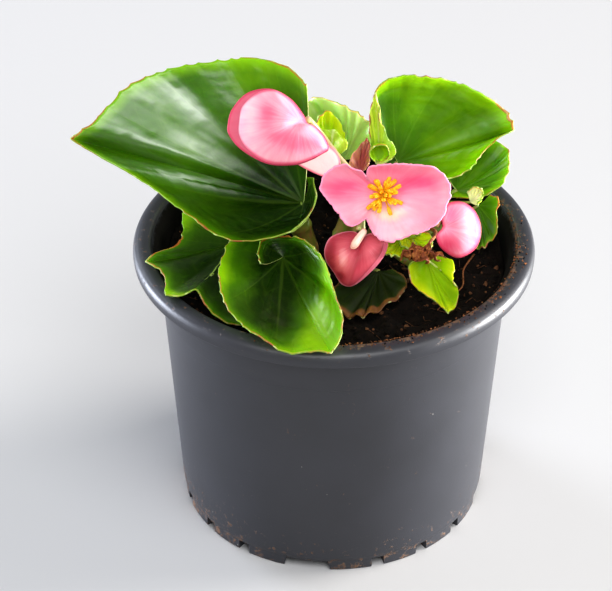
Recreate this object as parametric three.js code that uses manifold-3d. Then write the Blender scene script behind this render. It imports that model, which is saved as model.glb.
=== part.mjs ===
// Potted begonia in a 12 cm nursery pot
// Millimetres, +Z up, the pot's base at height 0, the front of the plant towards -Y.
// Places are measured from the pot's axis, and the whole is then set over the origin by its outline.
// The leaves are fans of ribs that spread from the top of their stalk to a scalloped, waved margin.

import * as THREE from 'three';
import { mergeVertices } from 'three/addons/utils/BufferGeometryUtils.js';
import Module from 'manifold-3d';

const wasm = await Module();
wasm.setup();

// Driving dimensions of the pot
const rimRadius = 60;
const potHeight = 91;
const baseRadius = 47;
const wallTopRadius = 52.8;
const wallThickness = 1.2;
const lipHeight = 5;
const rimInnerRadius = 54.5;
const stepHeight = 72;
const footHeight = 3.5;
const footWidth = 3.5;
const floorHeight = 3.6;
const floorThickness = 1.6;
const drainRadius = 4.5;
const drainCircle = 28;
const drainCount = 6;
const quadrants = 4;
const firstWideNotch = -10;
const wideNotch = 19;
const narrowNotch = 5.5;
const narrowNotchesAt = [27, 45.5, 64];
const notchDepth = 7;
const rimRound = 0.6;
const edgeRound = 1.4;
const stepDepth = 0.35;
const floorFillet = 2;

// Where the pot's axis stands, so that the origin lies under the middle of the whole plant
const potAxis = [9.5, 2.5, 0];

// Driving dimensions of the soil
const soilLevel = 82;
const soilSlope = 0.015;
const soilLump = 1.3;
const soilCrumbShare = 0.4;
const soilRings = 5;
const soilColumns = 30;

// Clearances and thicknesses that all the pieces share
const gap = 0.3;
const bladeThickness = 0.8;
const petalThickness = 0.7;
const roundSides = 40;
const drainSides = 8;
const rodSides = 6;
const stemSides = 10;
const mergeDistance = 1e-5;

// Stems: the way each one takes out of the soil, and its radius
const stems = {
  stem_middle: { route: [[2, 0, 70], [2, 0, 84], [3, -1, 92], [5, -2, 100], [6, -2, 107]], radius: 3.2 },
  stem_left: { route: [[-8, 4, 70], [-8, 4, 84], [-10, 4, 92], [-13, 3, 101]], radius: 3.2 },
  stem_right: { route: [[12, 4, 70], [12, 4, 84], [14, 4, 92], [20, 4, 103]], radius: 3 },
};
const jointSwell = 1.12;

// Leaves: the stalk's way from its stem, its top (heart), the leaf's tip, and the two sides of the margin,
// each from the tip back to the heel beside the stalk
const leaves = {
  leaf_large_left: {
    stalk: [[-11, 4, 92], [-11, -1, 98]], stalkRadius: 2, heart: [-9, -5, 106], tip: [-79, 12, 118],
    left: [[-69, 7, 114], [-57, 1, 110], [-43, -13, 106], [-30, -22, 104], [-17, -22, 105],
      [-9, -18, 108], [-5, -11, 112], [-6, -5, 115], [-8, -2, 114]],
    right: [[-71, 12, 125], [-63, 19, 131], [-51, 22, 136], [-35, 21, 140], [-25, 19, 142], [-14, 14, 142],
      [-8, 9, 139]],
    dish: 0.1, columns: 18, rings: 4,
  },
  leaf_right_upper: {
    stalk: [[4.5, -1, 97], [12, 7, 103]], stalkRadius: 1.8, heart: [19, 11, 110], tip: [55, 17, 118],
    right: [[49, 14, 116], [44, 11, 112], [42, 8, 110], [35, 5, 108], [27, 5, 108], [19, 3, 108],
      [13, 3, 111], [11, 8, 114]],
    left: [[52, 18, 124], [43, 18, 131], [33, 17, 136], [22, 14, 139], [14, 12, 138], [11, 10, 133]],
    dish: 0.1, columns: 16, rings: 4,
  },
  leaf_front: {
    stalk: [[-8.5, 4, 84], [-12, -7, 87]], stalkRadius: 1.8, heart: [-15, -17, 95], tip: [-1, -65, 95],
    left: [[1, -62, 96], [2, -54, 99], [0, -43, 102], [-3, -30, 103], [-8, -19, 103], [-14, -15, 102],
      [-21, -15, 101], [-23, -21, 100], [-22, -28, 100]],
    right: [[-9, -65, 94.5], [-17, -62, 94.5], [-25, -55, 96], [-32, -44, 98], [-34, -31, 98],
      [-32, -13, 98], [-26, -5, 98], [-20, -7, 97]],
    dish: 0.06, columns: 16, rings: 4,
  },
  leaf_low_left: {
    stalk: [[-8, 4, 84.5], [-25, 2, 87]], stalkRadius: 1.6, heart: [-40, -5, 90.6], tip: [-56, -18, 94],
    left: [[-50, -26, 93.5], [-49, -34, 93.5], [-44, -36, 93.5], [-40, -31, 94], [-37, -36, 90],
      [-32, -40, 87.5], [-26, -40, 86.5], [-22, -34, 86.5], [-26, -20, 88], [-33, -11, 89]],
    right: [[-52, -13, 94], [-47, -6, 92.5], [-46, 1, 93], [-46, 8, 94], [-43, 12, 95], [-38, 11, 94],
      [-36, 5, 92]],
    dish: 0.04, columns: 16, rings: 3,
  },
  leaf_back: {
    stalk: [[4, -1, 95], [3, 10, 99]], stalkRadius: 1.4, heart: [3, 19, 106], tip: [4, 25, 122],
    right: [[8, 22, 121], [12, 20, 118], [13, 17, 113], [10, 16, 109]],
    left: [[-2, 29, 122], [-7, 31, 121], [-10, 29, 118], [-9, 24, 114], [-5, 20, 110]],
    dish: 0.08, columns: 10, rings: 3,
  },
  leaf_young_folded: {
    stalk: [[5, -1, 102], [0.5, 5, 104]], stalkRadius: 1, heart: [-0.5, 13, 110], tip: [-5, 20, 122],
    left: [[-5, 16, 120], [0, 15, 120], [4, 11, 118], [4, 11, 115]],
    right: [[-2, 22, 122], [1, 21, 120], [4, 19, 116], [4, 16, 114]],
    dish: 0.1, columns: 8, rings: 3,
  },
  leaf_right_back: {
    stalk: [[18, 4, 99], [28, 9, 95]], stalkRadius: 1.4, heart: [37, 13, 99], tip: [54, 20, 105],
    right: [[53, 15, 104], [51, 12, 101], [46, 11, 98], [40, 9, 98], [35, 10, 98]],
    left: [[53, 25, 107], [47, 28, 108], [40, 27, 107], [35, 23, 104], [34, 17, 102]],
    dish: 0.08, columns: 10, rings: 3,
  },
  leaf_right_low: {
    stalk: [[12.5, 4, 86], [30, 11, 85]], stalkRadius: 1.3, heart: [44, 15, 92], tip: [45, -5, 89],
    right: [[42, -3, 88], [38, 2, 88], [36, 8, 89], [38, 13, 91]],
    left: [[49, 2, 90], [50, 10, 92], [51, 16, 94], [48, 19, 94]],
    dish: 0.05, columns: 10, rings: 3,
  },
  leaf_young_front: {
    stalk: [[12.5, 4, 88], [22, -8, 87]], stalkRadius: 1.2, heart: [31, -20, 93], tip: [33, -36, 87],
    right: [[29, -31, 88], [23, -26, 90], [21, -21, 94], [25, -20, 96], [28, -21, 96]],
    left: [[35, -32, 88], [36, -28, 90], [36, -25, 92], [34, -22, 94]],
    dish: 0.08, columns: 10, rings: 3,
  },
  leaf_shaded_front: {
    stalk: [[2, 0, 87], [8, -10, 87]], stalkRadius: 1.3, heart: [13, -17, 90], tip: [8, -36, 86],
    right: [[2, -34, 86], [-2, -26, 87], [1, -19, 88], [7, -15, 89]],
    left: [[14, -32, 87], [20, -27, 88], [22, -21, 89.5], [18, -16, 90]],
    dish: 0.05, columns: 10, rings: 3,
  },
  leaf_back_left: {
    stalk: [[-9, 4, 90], [-16, 16, 92]], stalkRadius: 1.7, heart: [-24, 26, 98], tip: [-42, 50, 104],
    left: [[-46, 42, 105], [-47, 32, 105], [-41, 22, 104], [-32, 17, 103], [-24, 18, 103]],
    right: [[-34, 52, 105], [-22, 51, 106], [-12, 43, 106], [-9, 33, 105], [-15, 25, 103]],
    dish: 0.08, columns: 12, rings: 3,
  },
  leaf_back_right: {
    stalk: [[14, 4, 92], [18, 18, 91]], stalkRadius: 1.6, heart: [21, 32, 96], tip: [36, 56, 100],
    left: [[28, 56, 101], [17, 53, 102], [9, 44, 102], [9, 34, 101], [15, 28, 100]],
    right: [[43, 50, 101], [48, 40, 102], [45, 31, 102], [36, 26, 101], [27, 26, 100]],
    dish: 0.08, columns: 12, rings: 3,
  },
  leaf_bud_right: {
    stalk: [[18.5, 4, 100], [30, 1, 102]], stalkRadius: 0.8, heart: [40, -3, 105], tip: [44, -1, 109],
    right: [[45, -3, 106.5], [43, -5.5, 104.5], [40, -6, 104]],
    left: [[40, 1, 109.5], [37.5, 0, 108], [37.5, -3, 106.5]],
    dish: 0.12, columns: 7, rings: 3,
  },
  stipule: {
    stalk: [[6, -2, 103], [8.5, 1, 106.5]], stalkRadius: 0.9, heart: [7.4, 3, 112], tip: [7, 6, 125],
    right: [[9.5, 5, 122], [10.5, 4, 117], [9, 3, 113]],
    left: [[6, 6, 123], [5.2, 5, 118], [6, 4, 113]],
    dish: 0.1, columns: 7, rings: 3,
  },
};
const toothDepth = 0.7;
const waveHeight = 0.7;
const wavesPerSide = 4;

// Young shoot under the flower: small leaves on one short stem. The outline of half a leaf goes from
// its heel to its tip, as shares of its length and of its width.
const shoot = {
  route: [[13, 4, 91], [17, -3, 94], [20.5, -8.5, 97]], radius: 1,
  leaves: [
    { at: [20.5, -8.5, 97.4], turn: -110, length: 7, width: 6, rise: 5 },
    { at: [20.5, -8.5, 97.4], turn: -35, length: 8, width: 7, rise: 10 },
    { at: [20.1, -8, 97], turn: -165, length: 6, width: 5, rise: 20 },
    { at: [20.5, -8.5, 97], turn: 25, length: 6, width: 5, rise: 30 },
  ],
  outline: [[0.12, 0.34], [0.4, 0.5], [0.75, 0.32], [1, 0]],
  columns: 3, rings: 2, dish: 0.12,
};

// Open flower: its place, how far it leans back from looking straight up, and its four tepals.
// A point of a margin is across, up and towards the one who looks at the flower, anticlockwise.
const flower = {
  at: [14, -13, 114], lean: 55,
  tepals: {
    left: [[-5, 5.5, 3], [-6.6, 7, 4.5], [-9.3, 7.7, 5], [-11.8, 8.9, 5], [-16.8, 6.5, 4],
      [-18.5, 2.4, 2.6], [-17.7, 0.2, 2.6], [-14.6, -3.8, 3.4], [-11.5, -7.9, 3.6], [-9.4, -9.3, 3.2],
      [-7.5, -8.6, 2.6], [-5, -6.4, 1.8]],
    upper: [[15, 4, 3.2], [16.8, 6.2, 4.6], [14.1, 8.1, 5.5], [8.5, 8.8, 6], [3.6, 9, 6], [-3.9, 8.3, 5],
      [-6.4, 7.2, 3.6], [-6.2, 5.5, 2.2]],
    right: [[14, -8, 4], [17.2, -7, 5], [18.6, -2.8, 5.4], [19.6, 0.8, 5.6], [18.9, 3.5, 6], [17.2, 6, 6.2],
      [13, 6, 5.4]],
    lower: [[-5.2, -5.5, 1.2], [-4.6, -8, 1.4], [-2.9, -11.3, 1], [-1.2, -13.1, 0.6], [2.4, -13.9, 1],
      [7.1, -12.3, 2.4], [12.7, -10.4, 3.2], [17, -7.8, 3.2], [17, -6.4, 3]],
  },
  sag: 0.16, columns: 12, rings: 3,
};

// Stamens: clubs that stand out of a small core. A club's profile is shares of its radius and its length.
const stamens = {
  count: 20, coreRadius: 2.2, coreLift: 2.9, reach: 5.2, clubRadius: 0.85, clubSides: 5, spread: 0.85,
  clubProfile: [[0, 0], [0.35, 0.3], [0.5, 0.6], [1, 0.85], [0, 1]],
};

// Buds: two tepals closed on each other like a clam, given by the outline of their seam
const buds = {
  bud_large: {
    at: [-16.3, -3.6, 131], lean: 55, front: 5, back: 4,
    seam: [[-14.6, 1.3], [-13.2, 5.7], [-8.8, 10.2], [-2.1, 11.3], [3.5, 8.5], [7.2, 4], [8.4, 1.4],
      [10.8, 0.4], [13.5, -2.6], [14.6, -5.9], [12.9, -7.6], [8.4, -9.8], [4, -10.8], [-3.2, -10.4],
      [-10.5, -6.5], [-14.3, -2]],
    lip: [[3, -8], [6.2, -10.9], [12.9, -14], [16.4, -13], [17.9, -9.8], [16, -6.2], [11, -4]],
    columns: 26,
  },
  bud_front: {
    at: [5, -20.3, 97], lean: 55, front: 4, back: 3.6,
    seam: [[-8, 2.4], [-6.4, 5.8], [-3, 7.4], [0.5, 7.7], [3, 6.4], [6, 7.2], [9.6, 6], [10.6, 4.3],
      [9.2, 0.1], [4.8, -4.9], [0.3, -8.2], [-3, -7.7], [-5.3, -4.3], [-7.5, -1]],
    columns: 22,
  },
  bud_right: {
    at: [36.4, -16.7, 104], lean: 55, front: 4.2, back: 3.8,
    seam: [[0.6, 8.5], [4.5, 5.7], [6.2, 0.7], [5.1, -4.4], [1.8, -7.2], [-1.6, -7.7], [-5.6, -4.9],
      [-6.9, -1.5], [-5.2, 1.1], [-5.6, 4.6], [-3.8, 7.9]],
    columns: 20,
  },
  bud_small: {
    at: [6.8, -21.6, 104], lean: 40, front: 1.1, back: 1.1,
    seam: [[0, 2.6], [0.9, 1], [1.1, -1], [0, -2.8], [-1.1, -1], [-0.9, 1]],
    columns: 10,
  },
};
const budRings = 4;
const budFullness = 0.75;
const lipFront = 1;
const lipBack = 2;
const seatClearance = [1.05, 1.05, 1.12];

// Flower stalks: one branching piece from the top of the middle stem to the back of the flower and each bud
const stalkFork = [6, -3.6, 114.6];
const stalks = [
  { route: [[6, -2, 108], [6, -2.6, 111.5], stalkFork], radius: 1.5 },
  { route: [stalkFork, [10, -8, 113], [13.6, -11, 112]], radius: 1.2 },
  { route: [stalkFork, [1, 0, 119], [-4, 3, 125], [-7.4, 1.4, 130.6], [-8, -2, 132.4]], radius: 1 },
  { route: [stalkFork, [8, -9, 109.5], [8, -13.5, 106], [8, -16, 103.4]], radius: 1 },
  { route: [stalkFork, [13, -6.5, 109], [24, -12, 106], [30.6, -15.4, 105.3]], radius: 1 },
  { route: [[8, -13, 106.4], [7.4, -16.5, 107], [6.9, -19.6, 106.4]], radius: 0.8 },
];

// Remains of a withered flower, resting over the young leaf in front
const witheredFlower = {
  stalk: [[15.5, 4, 96], [29, -6, 97.5], [28, -15, 99], [25.5, -18.8, 98.8]], stalkRadius: 0.6,
  at: [25.5, -18.8, 98.8], pieces: 8, spread: 5, pieceRadius: 1.9, squash: [1.3, 0.8, 0.45],
  depthShare: 0.5, stepRound: 137, tumble: [47, 71, 29],
};

const toRadians = THREE.MathUtils.degToRad;
const pointOf = ([x, y, z]) => new THREE.Vector3(x, y, z);

// Solids: a merged three.js geometry in, a solid to join and cut with out, and back
function solidOf(geometry) {
  const plain = geometry.clone();
  plain.deleteAttribute('normal');
  plain.deleteAttribute('uv');
  const merged = mergeVertices(plain, mergeDistance);
  const corners = [...merged.index.array];
  const triangles = [];
  for (let start = 0; start < corners.length; start += 3) {
    const [a, b, c] = corners.slice(start, start + 3);
    if (a !== b && b !== c && c !== a) triangles.push(a, b, c);
  }
  return new wasm.Manifold(new wasm.Mesh({
    numProp: 3,
    vertProperties: new Float32Array(merged.attributes.position.array),
    triVerts: new Uint32Array(triangles),
  }));
}

function geometryOf(solid) {
  const { vertProperties, triVerts } = solid.getMesh();
  const geometry = new THREE.BufferGeometry();
  geometry.setAttribute('position', new THREE.BufferAttribute(vertProperties, 3));
  geometry.setIndex(new THREE.BufferAttribute(triVerts, 1));
  geometry.computeVertexNormals();
  return geometry;
}

function geometryFrom(points, triangles) {
  const geometry = new THREE.BufferGeometry();
  geometry.setFromPoints(points);
  geometry.setIndex(triangles);
  return geometry;
}

const joined = (solids) => solids.reduce((whole, solid) => whole.add(solid));

// The one body that is kept where a join leaves a sealed hollow or a loose scrap
const mainBody = (solid) => solid.decompose().sort((a, b) => b.volume() - a.volume())[0];

// A round rod along a smooth line through a few points
function rod(route, radius, sides = rodSides, stepsPerSpan = 2) {
  const segmentsPerHalfTurn = sides / 2;
  const path = new THREE.CatmullRomCurve3(route.map(pointOf), false, 'catmullrom', 0.5);
  const section = new THREE.Shape();
  section.absarc(0, 0, radius, 0, 2 * Math.PI);
  return solidOf(new THREE.ExtrudeGeometry(section, {
    steps: (route.length - 1) * stepsPerSpan,
    curveSegments: segmentsPerHalfTurn,
    extrudePath: path,
  }));
}

function ball(at, radius, widthSegments = 8, heightSegments = 6) {
  const geometry = new THREE.SphereGeometry(radius, widthSegments, heightSegments);
  geometry.translate(...at);
  return solidOf(geometry);
}

// A stem is a little thicker at each joint
function stemSolid({ route, radius }, extra = 0) {
  const joints = route.slice(2).map((at) => ball(at, radius * jointSwell + extra));
  return joined([rod(route, radius + extra, stemSides), ...joints]);
}

const inflatedStems = joined(Object.values(stems).map((stem) => stemSolid(stem, gap)));

// Ribs of a blade: from its heart to each point of a margin, sunk between its two ends by the dish.
// The margin runs anticlockwise where side is 1, and clockwise where side is -1.
function ribsTo({ heart, margin, side, columns, rings, dish, tooth = 0, wave = 0 }) {
  const centre = pointOf(heart);
  const edge = new THREE.CatmullRomCurve3(margin.map(pointOf), false, 'catmullrom', 0.5);
  const ribs = [];
  for (let column = 0; column <= columns; column += 1) {
    const along = column / columns;
    const end = edge.getPoint(along);
    const rib = end.clone().sub(centre);
    const up = rib.clone().cross(edge.getTangent(along)).normalize().multiplyScalar(side);
    const length = rib.length();
    end.addScaledVector(rib.normalize(), column % 2 === 0 ? 0 : -tooth);
    end.addScaledVector(up, wave * Math.sin(2 * Math.PI * wavesPerSide * along) * (1 - along));
    const points = [];
    for (let ring = 1; ring <= rings; ring += 1) {
      const out = ring / rings;
      const point = centre.clone().lerp(end, out);
      points.push(point.addScaledVector(up, -4 * dish * length * out * (1 - out)));
    }
    ribs.push(points);
  }
  return ribs;
}

// Where a vertex of a fan is in its list: the heart first, then rib by rib, in a fan of so many ribs
const inFan = (ribs, rings) => (column, ring) => (ring === 0 ? 0 : 1 + (column % ribs) * rings + ring - 1);

// A fan that goes all round has as many ribs as columns, and an open one has one more
function fanFaces(columns, rings, ribs = columns + 1) {
  const at = inFan(ribs, rings);
  const faces = [];
  for (let column = 0; column < columns; column += 1) {
    faces.push(0, at(column, 1), at(column + 1, 1));
    for (let ring = 1; ring < rings; ring += 1) {
      faces.push(at(column, ring), at(column, ring + 1), at(column + 1, ring + 1));
      faces.push(at(column, ring), at(column + 1, ring + 1), at(column + 1, ring));
    }
  }
  return faces;
}

// Solid between an upper and a lower copy of a fan, walled along its margin and, if open, both end ribs
function fanSolid(upper, lower, columns, rings, allRound = false) {
  const ribs = allRound ? columns : columns + 1;
  const at = inFan(ribs, rings);
  const below = (index) => index + upper.length;
  const faces = fanFaces(columns, rings, ribs);
  const triangles = [...faces, ...[...faces].reverse().map(below)];
  const wall = (a, b) => triangles.push(a, below(a), below(b), a, below(b), b);
  for (let column = 0; column < columns; column += 1) {
    wall(at(column, rings), at(column + 1, rings));
  }
  for (let ring = 0; ring < rings && !allRound; ring += 1) {
    wall(at(0, ring), at(0, ring + 1));
    wall(at(columns, ring + 1), at(columns, ring));
  }
  return solidOf(geometryFrom([...upper, ...lower], triangles));
}

// Blade of even thickness over its ribs, made as two halves that join along the middle rib,
// so that a heel may lie over the other one
function bladeSolid(heart, ribs, rings, thickness) {
  const columns = ribs.length - 1;
  const middle = [pointOf(heart), ...ribs.flat()];
  const surface = geometryFrom(middle, fanFaces(columns, rings));
  surface.computeVertexNormals();
  const { normal } = surface.attributes;
  const normals = middle.map((_, index) => new THREE.Vector3().fromBufferAttribute(normal, index));
  const offset = (distance) => middle.map((point, index) => (
    point.clone().addScaledVector(normals[index], distance)
  ));
  const upper = offset(thickness / 2);
  const lower = offset(-thickness / 2);
  const half = Math.round(columns / 2);
  const part = (fan, first, last) => [fan[0], ...fan.slice(1 + first * rings, 1 + (last + 1) * rings)];
  const piece = (first, last) => (
    fanSolid(part(upper, first, last), part(lower, first, last), last - first, rings)
  );
  return piece(0, half).add(piece(half, columns));
}

// Both sides of a leaf share the rib that runs to the tip, halfway between where each side puts it
function leafRibs(leaf) {
  const shared = { ...leaf, tooth: toothDepth, wave: waveHeight };
  const left = ribsTo({ ...shared, margin: [leaf.tip, ...leaf.left], side: 1 });
  const right = ribsTo({ ...shared, margin: [leaf.tip, ...leaf.right], side: -1 });
  const midrib = left[0].map((point, ring) => point.clone().lerp(right[0][ring], 0.5));
  return [...right.slice(1).reverse(), midrib, ...left.slice(1)];
}

function leafSolid(leaf) {
  const blade = bladeSolid(leaf.heart, leafRibs(leaf), leaf.rings, bladeThickness);
  const stalk = rod([...leaf.stalk, leaf.heart], leaf.stalkRadius);
  return mainBody(blade.add(stalk).subtract(inflatedStems));
}

// Small pointed leaf of the shoot, described by its length, its width, and where it turns and rises to
function smallLeaf({ at, turn, length, width, rise }) {
  const left = [...shoot.outline].reverse().map(([along, across]) => [along * length, across * width, 0]);
  const right = left.map(([x, y, z]) => [x, -y, z]);
  const shared = { ...shoot, heart: [0, 0, 0] };
  const leftRibs = ribsTo({ ...shared, margin: left, side: 1 });
  const rightRibs = ribsTo({ ...shared, margin: right, side: -1 });
  const ribs = [...rightRibs.slice(1).reverse(), ...leftRibs];
  const blade = bladeSolid(shared.heart, ribs, shoot.rings, bladeThickness);
  return blade.rotate([0, -rise, turn]).translate(at);
}

function shootSolid() {
  const whole = joined([rod(shoot.route, shoot.radius), ...shoot.leaves.map(smallLeaf)]);
  return mainBody(whole.subtract(inflatedStems));
}

// A lathe's profile is a list of radius and height, closed on the axis
function turned(profile, sides = roundSides) {
  const points = profile.map(([radius, height]) => new THREE.Vector2(radius, height));
  const geometry = new THREE.LatheGeometry(points, sides);
  geometry.rotateX(Math.PI / 2);
  return solidOf(geometry);
}

const around = (radius, degreesFromFront) => [
  radius * Math.sin(toRadians(degreesFromFront)),
  -radius * Math.cos(toRadians(degreesFromFront)),
];

const footTop = footHeight + edgeRound;
const lipBottom = potHeight - lipHeight;
const wallRadiusAt = (height) => (
  THREE.MathUtils.mapLinear(height, footTop, lipBottom, baseRadius, wallTopRadius)
);

function footNotch(centre, degrees) {
  const width = toRadians(degrees) * baseRadius;
  const notch = new THREE.BoxGeometry(width, notchDepth * 2, footHeight * 2);
  notch.rotateZ(toRadians(centre));
  const [x, y] = around(baseRadius - footWidth / 2, centre);
  notch.translate(x, y, 0);
  return solidOf(notch);
}

function potSolid() {
  const inner = (height) => wallRadiusAt(height) - wallThickness;
  const floorTop = floorHeight + floorThickness;
  const filletTop = floorTop + floorFillet;
  const body = turned([
    [0, floorHeight],
    [baseRadius - footWidth, floorHeight],
    [baseRadius - footWidth, 0],
    [baseRadius - rimRound, 0],
    [baseRadius - rimRound, footHeight],
    [baseRadius, footTop],
    [wallRadiusAt(stepHeight) - stepDepth / 2, stepHeight - stepDepth],
    [wallRadiusAt(stepHeight) + stepDepth / 2, stepHeight + stepDepth],
    [wallTopRadius, lipBottom + edgeRound],
    [rimRadius - edgeRound, lipBottom],
    [rimRadius, lipBottom + edgeRound],
    [rimRadius, potHeight - edgeRound - rimRound],
    [rimRadius - rimRound, potHeight - rimRound],
    [rimRadius - edgeRound - rimRound, potHeight],
    [rimInnerRadius + rimRound, potHeight],
    [rimInnerRadius, potHeight - rimRound],
    [inner(lipBottom) + rimRound, lipBottom + edgeRound],
    [inner(lipBottom), lipBottom],
    [inner(filletTop), filletTop],
    [inner(filletTop) - floorFillet, floorTop],
    [0, floorTop],
  ]);
  const notches = [];
  for (let quadrant = 0; quadrant < quadrants; quadrant += 1) {
    const start = firstWideNotch + quadrant * 360 / quadrants;
    notches.push(footNotch(start, wideNotch));
    narrowNotchesAt.forEach((angle) => notches.push(footNotch(start + angle, narrowNotch)));
  }
  const drains = [];
  for (let drain = 0; drain < drainCount; drain += 1) {
    const hole = new THREE.CylinderGeometry(drainRadius, drainRadius, floorHeight * 4, drainSides);
    hole.rotateX(Math.PI / 2);
    const [x, y] = around(drainCircle, drain * 360 / drainCount);
    hole.translate(x, y, floorHeight);
    drains.push(solidOf(hole));
  }
  return body.subtract(joined([...notches, ...drains]));
}

// The top of the soil has lumps about 35 mm apart, crumbs about 10 mm apart and a slight slope
const soilHeight = (x, y) => {
  const lumps = Math.sin(x * 0.19 + 1) * Math.cos(y * 0.16);
  const crumbs = Math.sin(x * 0.47 + y * 0.39);
  return soilLevel + soilSlope * (x - y) + soilLump * (lumps + soilCrumbShare * crumbs);
};

// The soil fills the pot under its lumpy top and stays a gap clear of the wall and of the stems
function soilSolid() {
  const floorTop = floorHeight + floorThickness + gap;
  const filletTop = floorTop + floorFillet;
  const inner = (height) => wallRadiusAt(height) - wallThickness - gap;
  const inside = turned([
    [0, floorTop],
    [inner(filletTop) - floorFillet, floorTop],
    [inner(filletTop), filletTop],
    [inner(potHeight), potHeight],
    [0, potHeight],
  ]);
  const top = [new THREE.Vector3(0, 0, soilHeight(0, 0))];
  for (let column = 0; column < soilColumns; column += 1) {
    for (let ring = 1; ring <= soilRings; ring += 1) {
      const [x, y] = around(rimRadius * ring / soilRings, column * 360 / soilColumns);
      top.push(new THREE.Vector3(x, y, soilHeight(x, y)));
    }
  }
  const bottom = top.map(({ x, y }) => new THREE.Vector3(x, y, 0));
  return fanSolid(top, bottom, soilColumns, soilRings, true).intersect(inside).subtract(inflatedStems);
}

function petalsSolid() {
  const tepals = Object.values(flower.tepals).map((margin) => {
    const shared = { heart: [0, 0, 0], margin, side: 1, dish: flower.sag };
    const ribs = ribsTo({ ...shared, columns: flower.columns, rings: flower.rings });
    return bladeSolid([0, 0, 0], ribs, flower.rings, petalThickness);
  });
  return mainBody(joined(tepals));
}

// Clubs stand out all round a small core, spread by the golden angle
function stamensSolid() {
  const goldenAngle = Math.PI * (3 - Math.sqrt(5));
  const profile = stamens.clubProfile.map(([across, along]) => (
    [across * stamens.clubRadius, along * stamens.reach]
  ));
  const clubs = [];
  for (let club = 0; club < stamens.count; club += 1) {
    const tilt = Math.acos(1 - stamens.spread * (club + 0.5) / stamens.count);
    const turns = [0, tilt, club * goldenAngle].map(THREE.MathUtils.radToDeg);
    clubs.push(turned(profile, stamens.clubSides).rotate(turns));
  }
  return joined([ball([0, 0, 0], stamens.coreRadius), ...clubs]).translate([0, 0, stamens.coreLift]);
}

// A closed bud swells in front and behind of the seam between its two tepals
function clamSolid(seam, front, back, columns) {
  const anticlockwise = THREE.ShapeUtils.isClockWise(seam.map(([x, y]) => new THREE.Vector2(x, y)))
    ? [...seam].reverse() : seam;
  const outline = new THREE.CatmullRomCurve3(
    anticlockwise.map(([x, y]) => new THREE.Vector3(x, y, 0)), true, 'catmullrom', 0.5,
  );
  const middle = new THREE.Box3().setFromPoints(outline.points).getCenter(new THREE.Vector3());
  const fan = (swell) => {
    const points = [new THREE.Vector3(middle.x, middle.y, swell)];
    for (let column = 0; column < columns; column += 1) {
      const end = outline.getPoint(column / columns);
      for (let ring = 1; ring <= budRings; ring += 1) {
        const out = Math.sin((Math.PI / 2) * (ring / budRings));
        const point = middle.clone().lerp(end, out);
        points.push(point.setZ(swell * (1 - out * out) ** budFullness));
      }
    }
    return points;
  };
  return fanSolid(fan(front), fan(-back), columns, budRings, true);
}

// In the bud that begins to open, the edge of the rear tepal shows below the front one as a lip
function budSolid({ seam, lip, front, back, columns }) {
  const body = clamSolid(seam, front, back, columns);
  if (!lip) return body;
  return body.add(clamSolid(lip, lipFront, lipBack, columns / 2).translate([0, 0, -lipFront]));
}

// Each stalk ends in a seat that stays a little clear of its bud
function stalksSolid() {
  const seats = Object.values(buds).map((bud) => (
    budSolid(bud).scale(seatClearance).rotate([bud.lean, 0, 0]).translate(bud.at)
  ));
  const branches = stalks.map(({ route, radius }) => rod(route, radius));
  const whole = joined([...branches, ball(stalkFork, stalks[0].radius)]);
  return mainBody(whole.subtract(joined([inflatedStems, ...seats])));
}

// Crumpled petals: small squashed lumps turned every way round the end of a dry stalk
function witheredSolid() {
  const { at, pieces, spread, pieceRadius, squash, depthShare, stepRound, tumble } = witheredFlower;
  const [middleX, middleY, middleZ] = at;
  const lumps = [];
  for (let piece = 0; piece < pieces; piece += 1) {
    const [x, y] = around(spread * (piece / pieces), piece * stepRound);
    const shape = solidOf(new THREE.IcosahedronGeometry(pieceRadius, 0)).scale(squash);
    const crumpled = shape.rotate(tumble.map((degrees) => degrees * piece));
    lumps.push(crumpled.translate([middleX + x, middleY + y * depthShare, middleZ]));
  }
  const stalk = rod(witheredFlower.stalk, witheredFlower.stalkRadius);
  return mainBody(joined([stalk, ...lumps]).subtract(inflatedStems));
}

// Colours, with how rough and how metallic each finish is
const finishes = {
  potPlastic: { color: '#45474d', roughness: 0.45 },
  soil: { color: '#1b130d', roughness: 1 },
  stem: { color: '#8a9a4a', roughness: 0.45 },
  leaf: { color: '#4f8f14', roughness: 0.35 },
  youngLeaf: { color: '#8fb516', roughness: 0.4 },
  stipule: { color: '#a8685c', roughness: 0.5 },
  petal: { color: '#f6a9c8', roughness: 0.5 },
  stamen: { color: '#ffc814', roughness: 0.6 },
  bud: { color: '#ee7d9c', roughness: 0.45 },
  withered: { color: '#6b3a1c', roughness: 0.9 },
};
const materials = Object.fromEntries(Object.entries(finishes).map(([name, finish]) => (
  [name, new THREE.MeshStandardMaterial({ ...finish, metalness: 0 })]
)));

const begonia = new THREE.Group();
begonia.position.set(...potAxis);

function addPiece(name, solid, material, { at = [0, 0, 0], lean = 0 } = {}) {
  const mesh = new THREE.Mesh(geometryOf(solid), material);
  mesh.name = name;
  mesh.position.set(...at);
  mesh.rotation.x = toRadians(lean);
  begonia.add(mesh);
}

const youngLeaves = ['leaf_young_folded', 'leaf_young_front', 'leaf_bud_right'];
const leafMaterial = (name) => {
  if (name === 'stipule') return materials.stipule;
  return youngLeaves.includes(name) ? materials.youngLeaf : materials.leaf;
};

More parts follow.
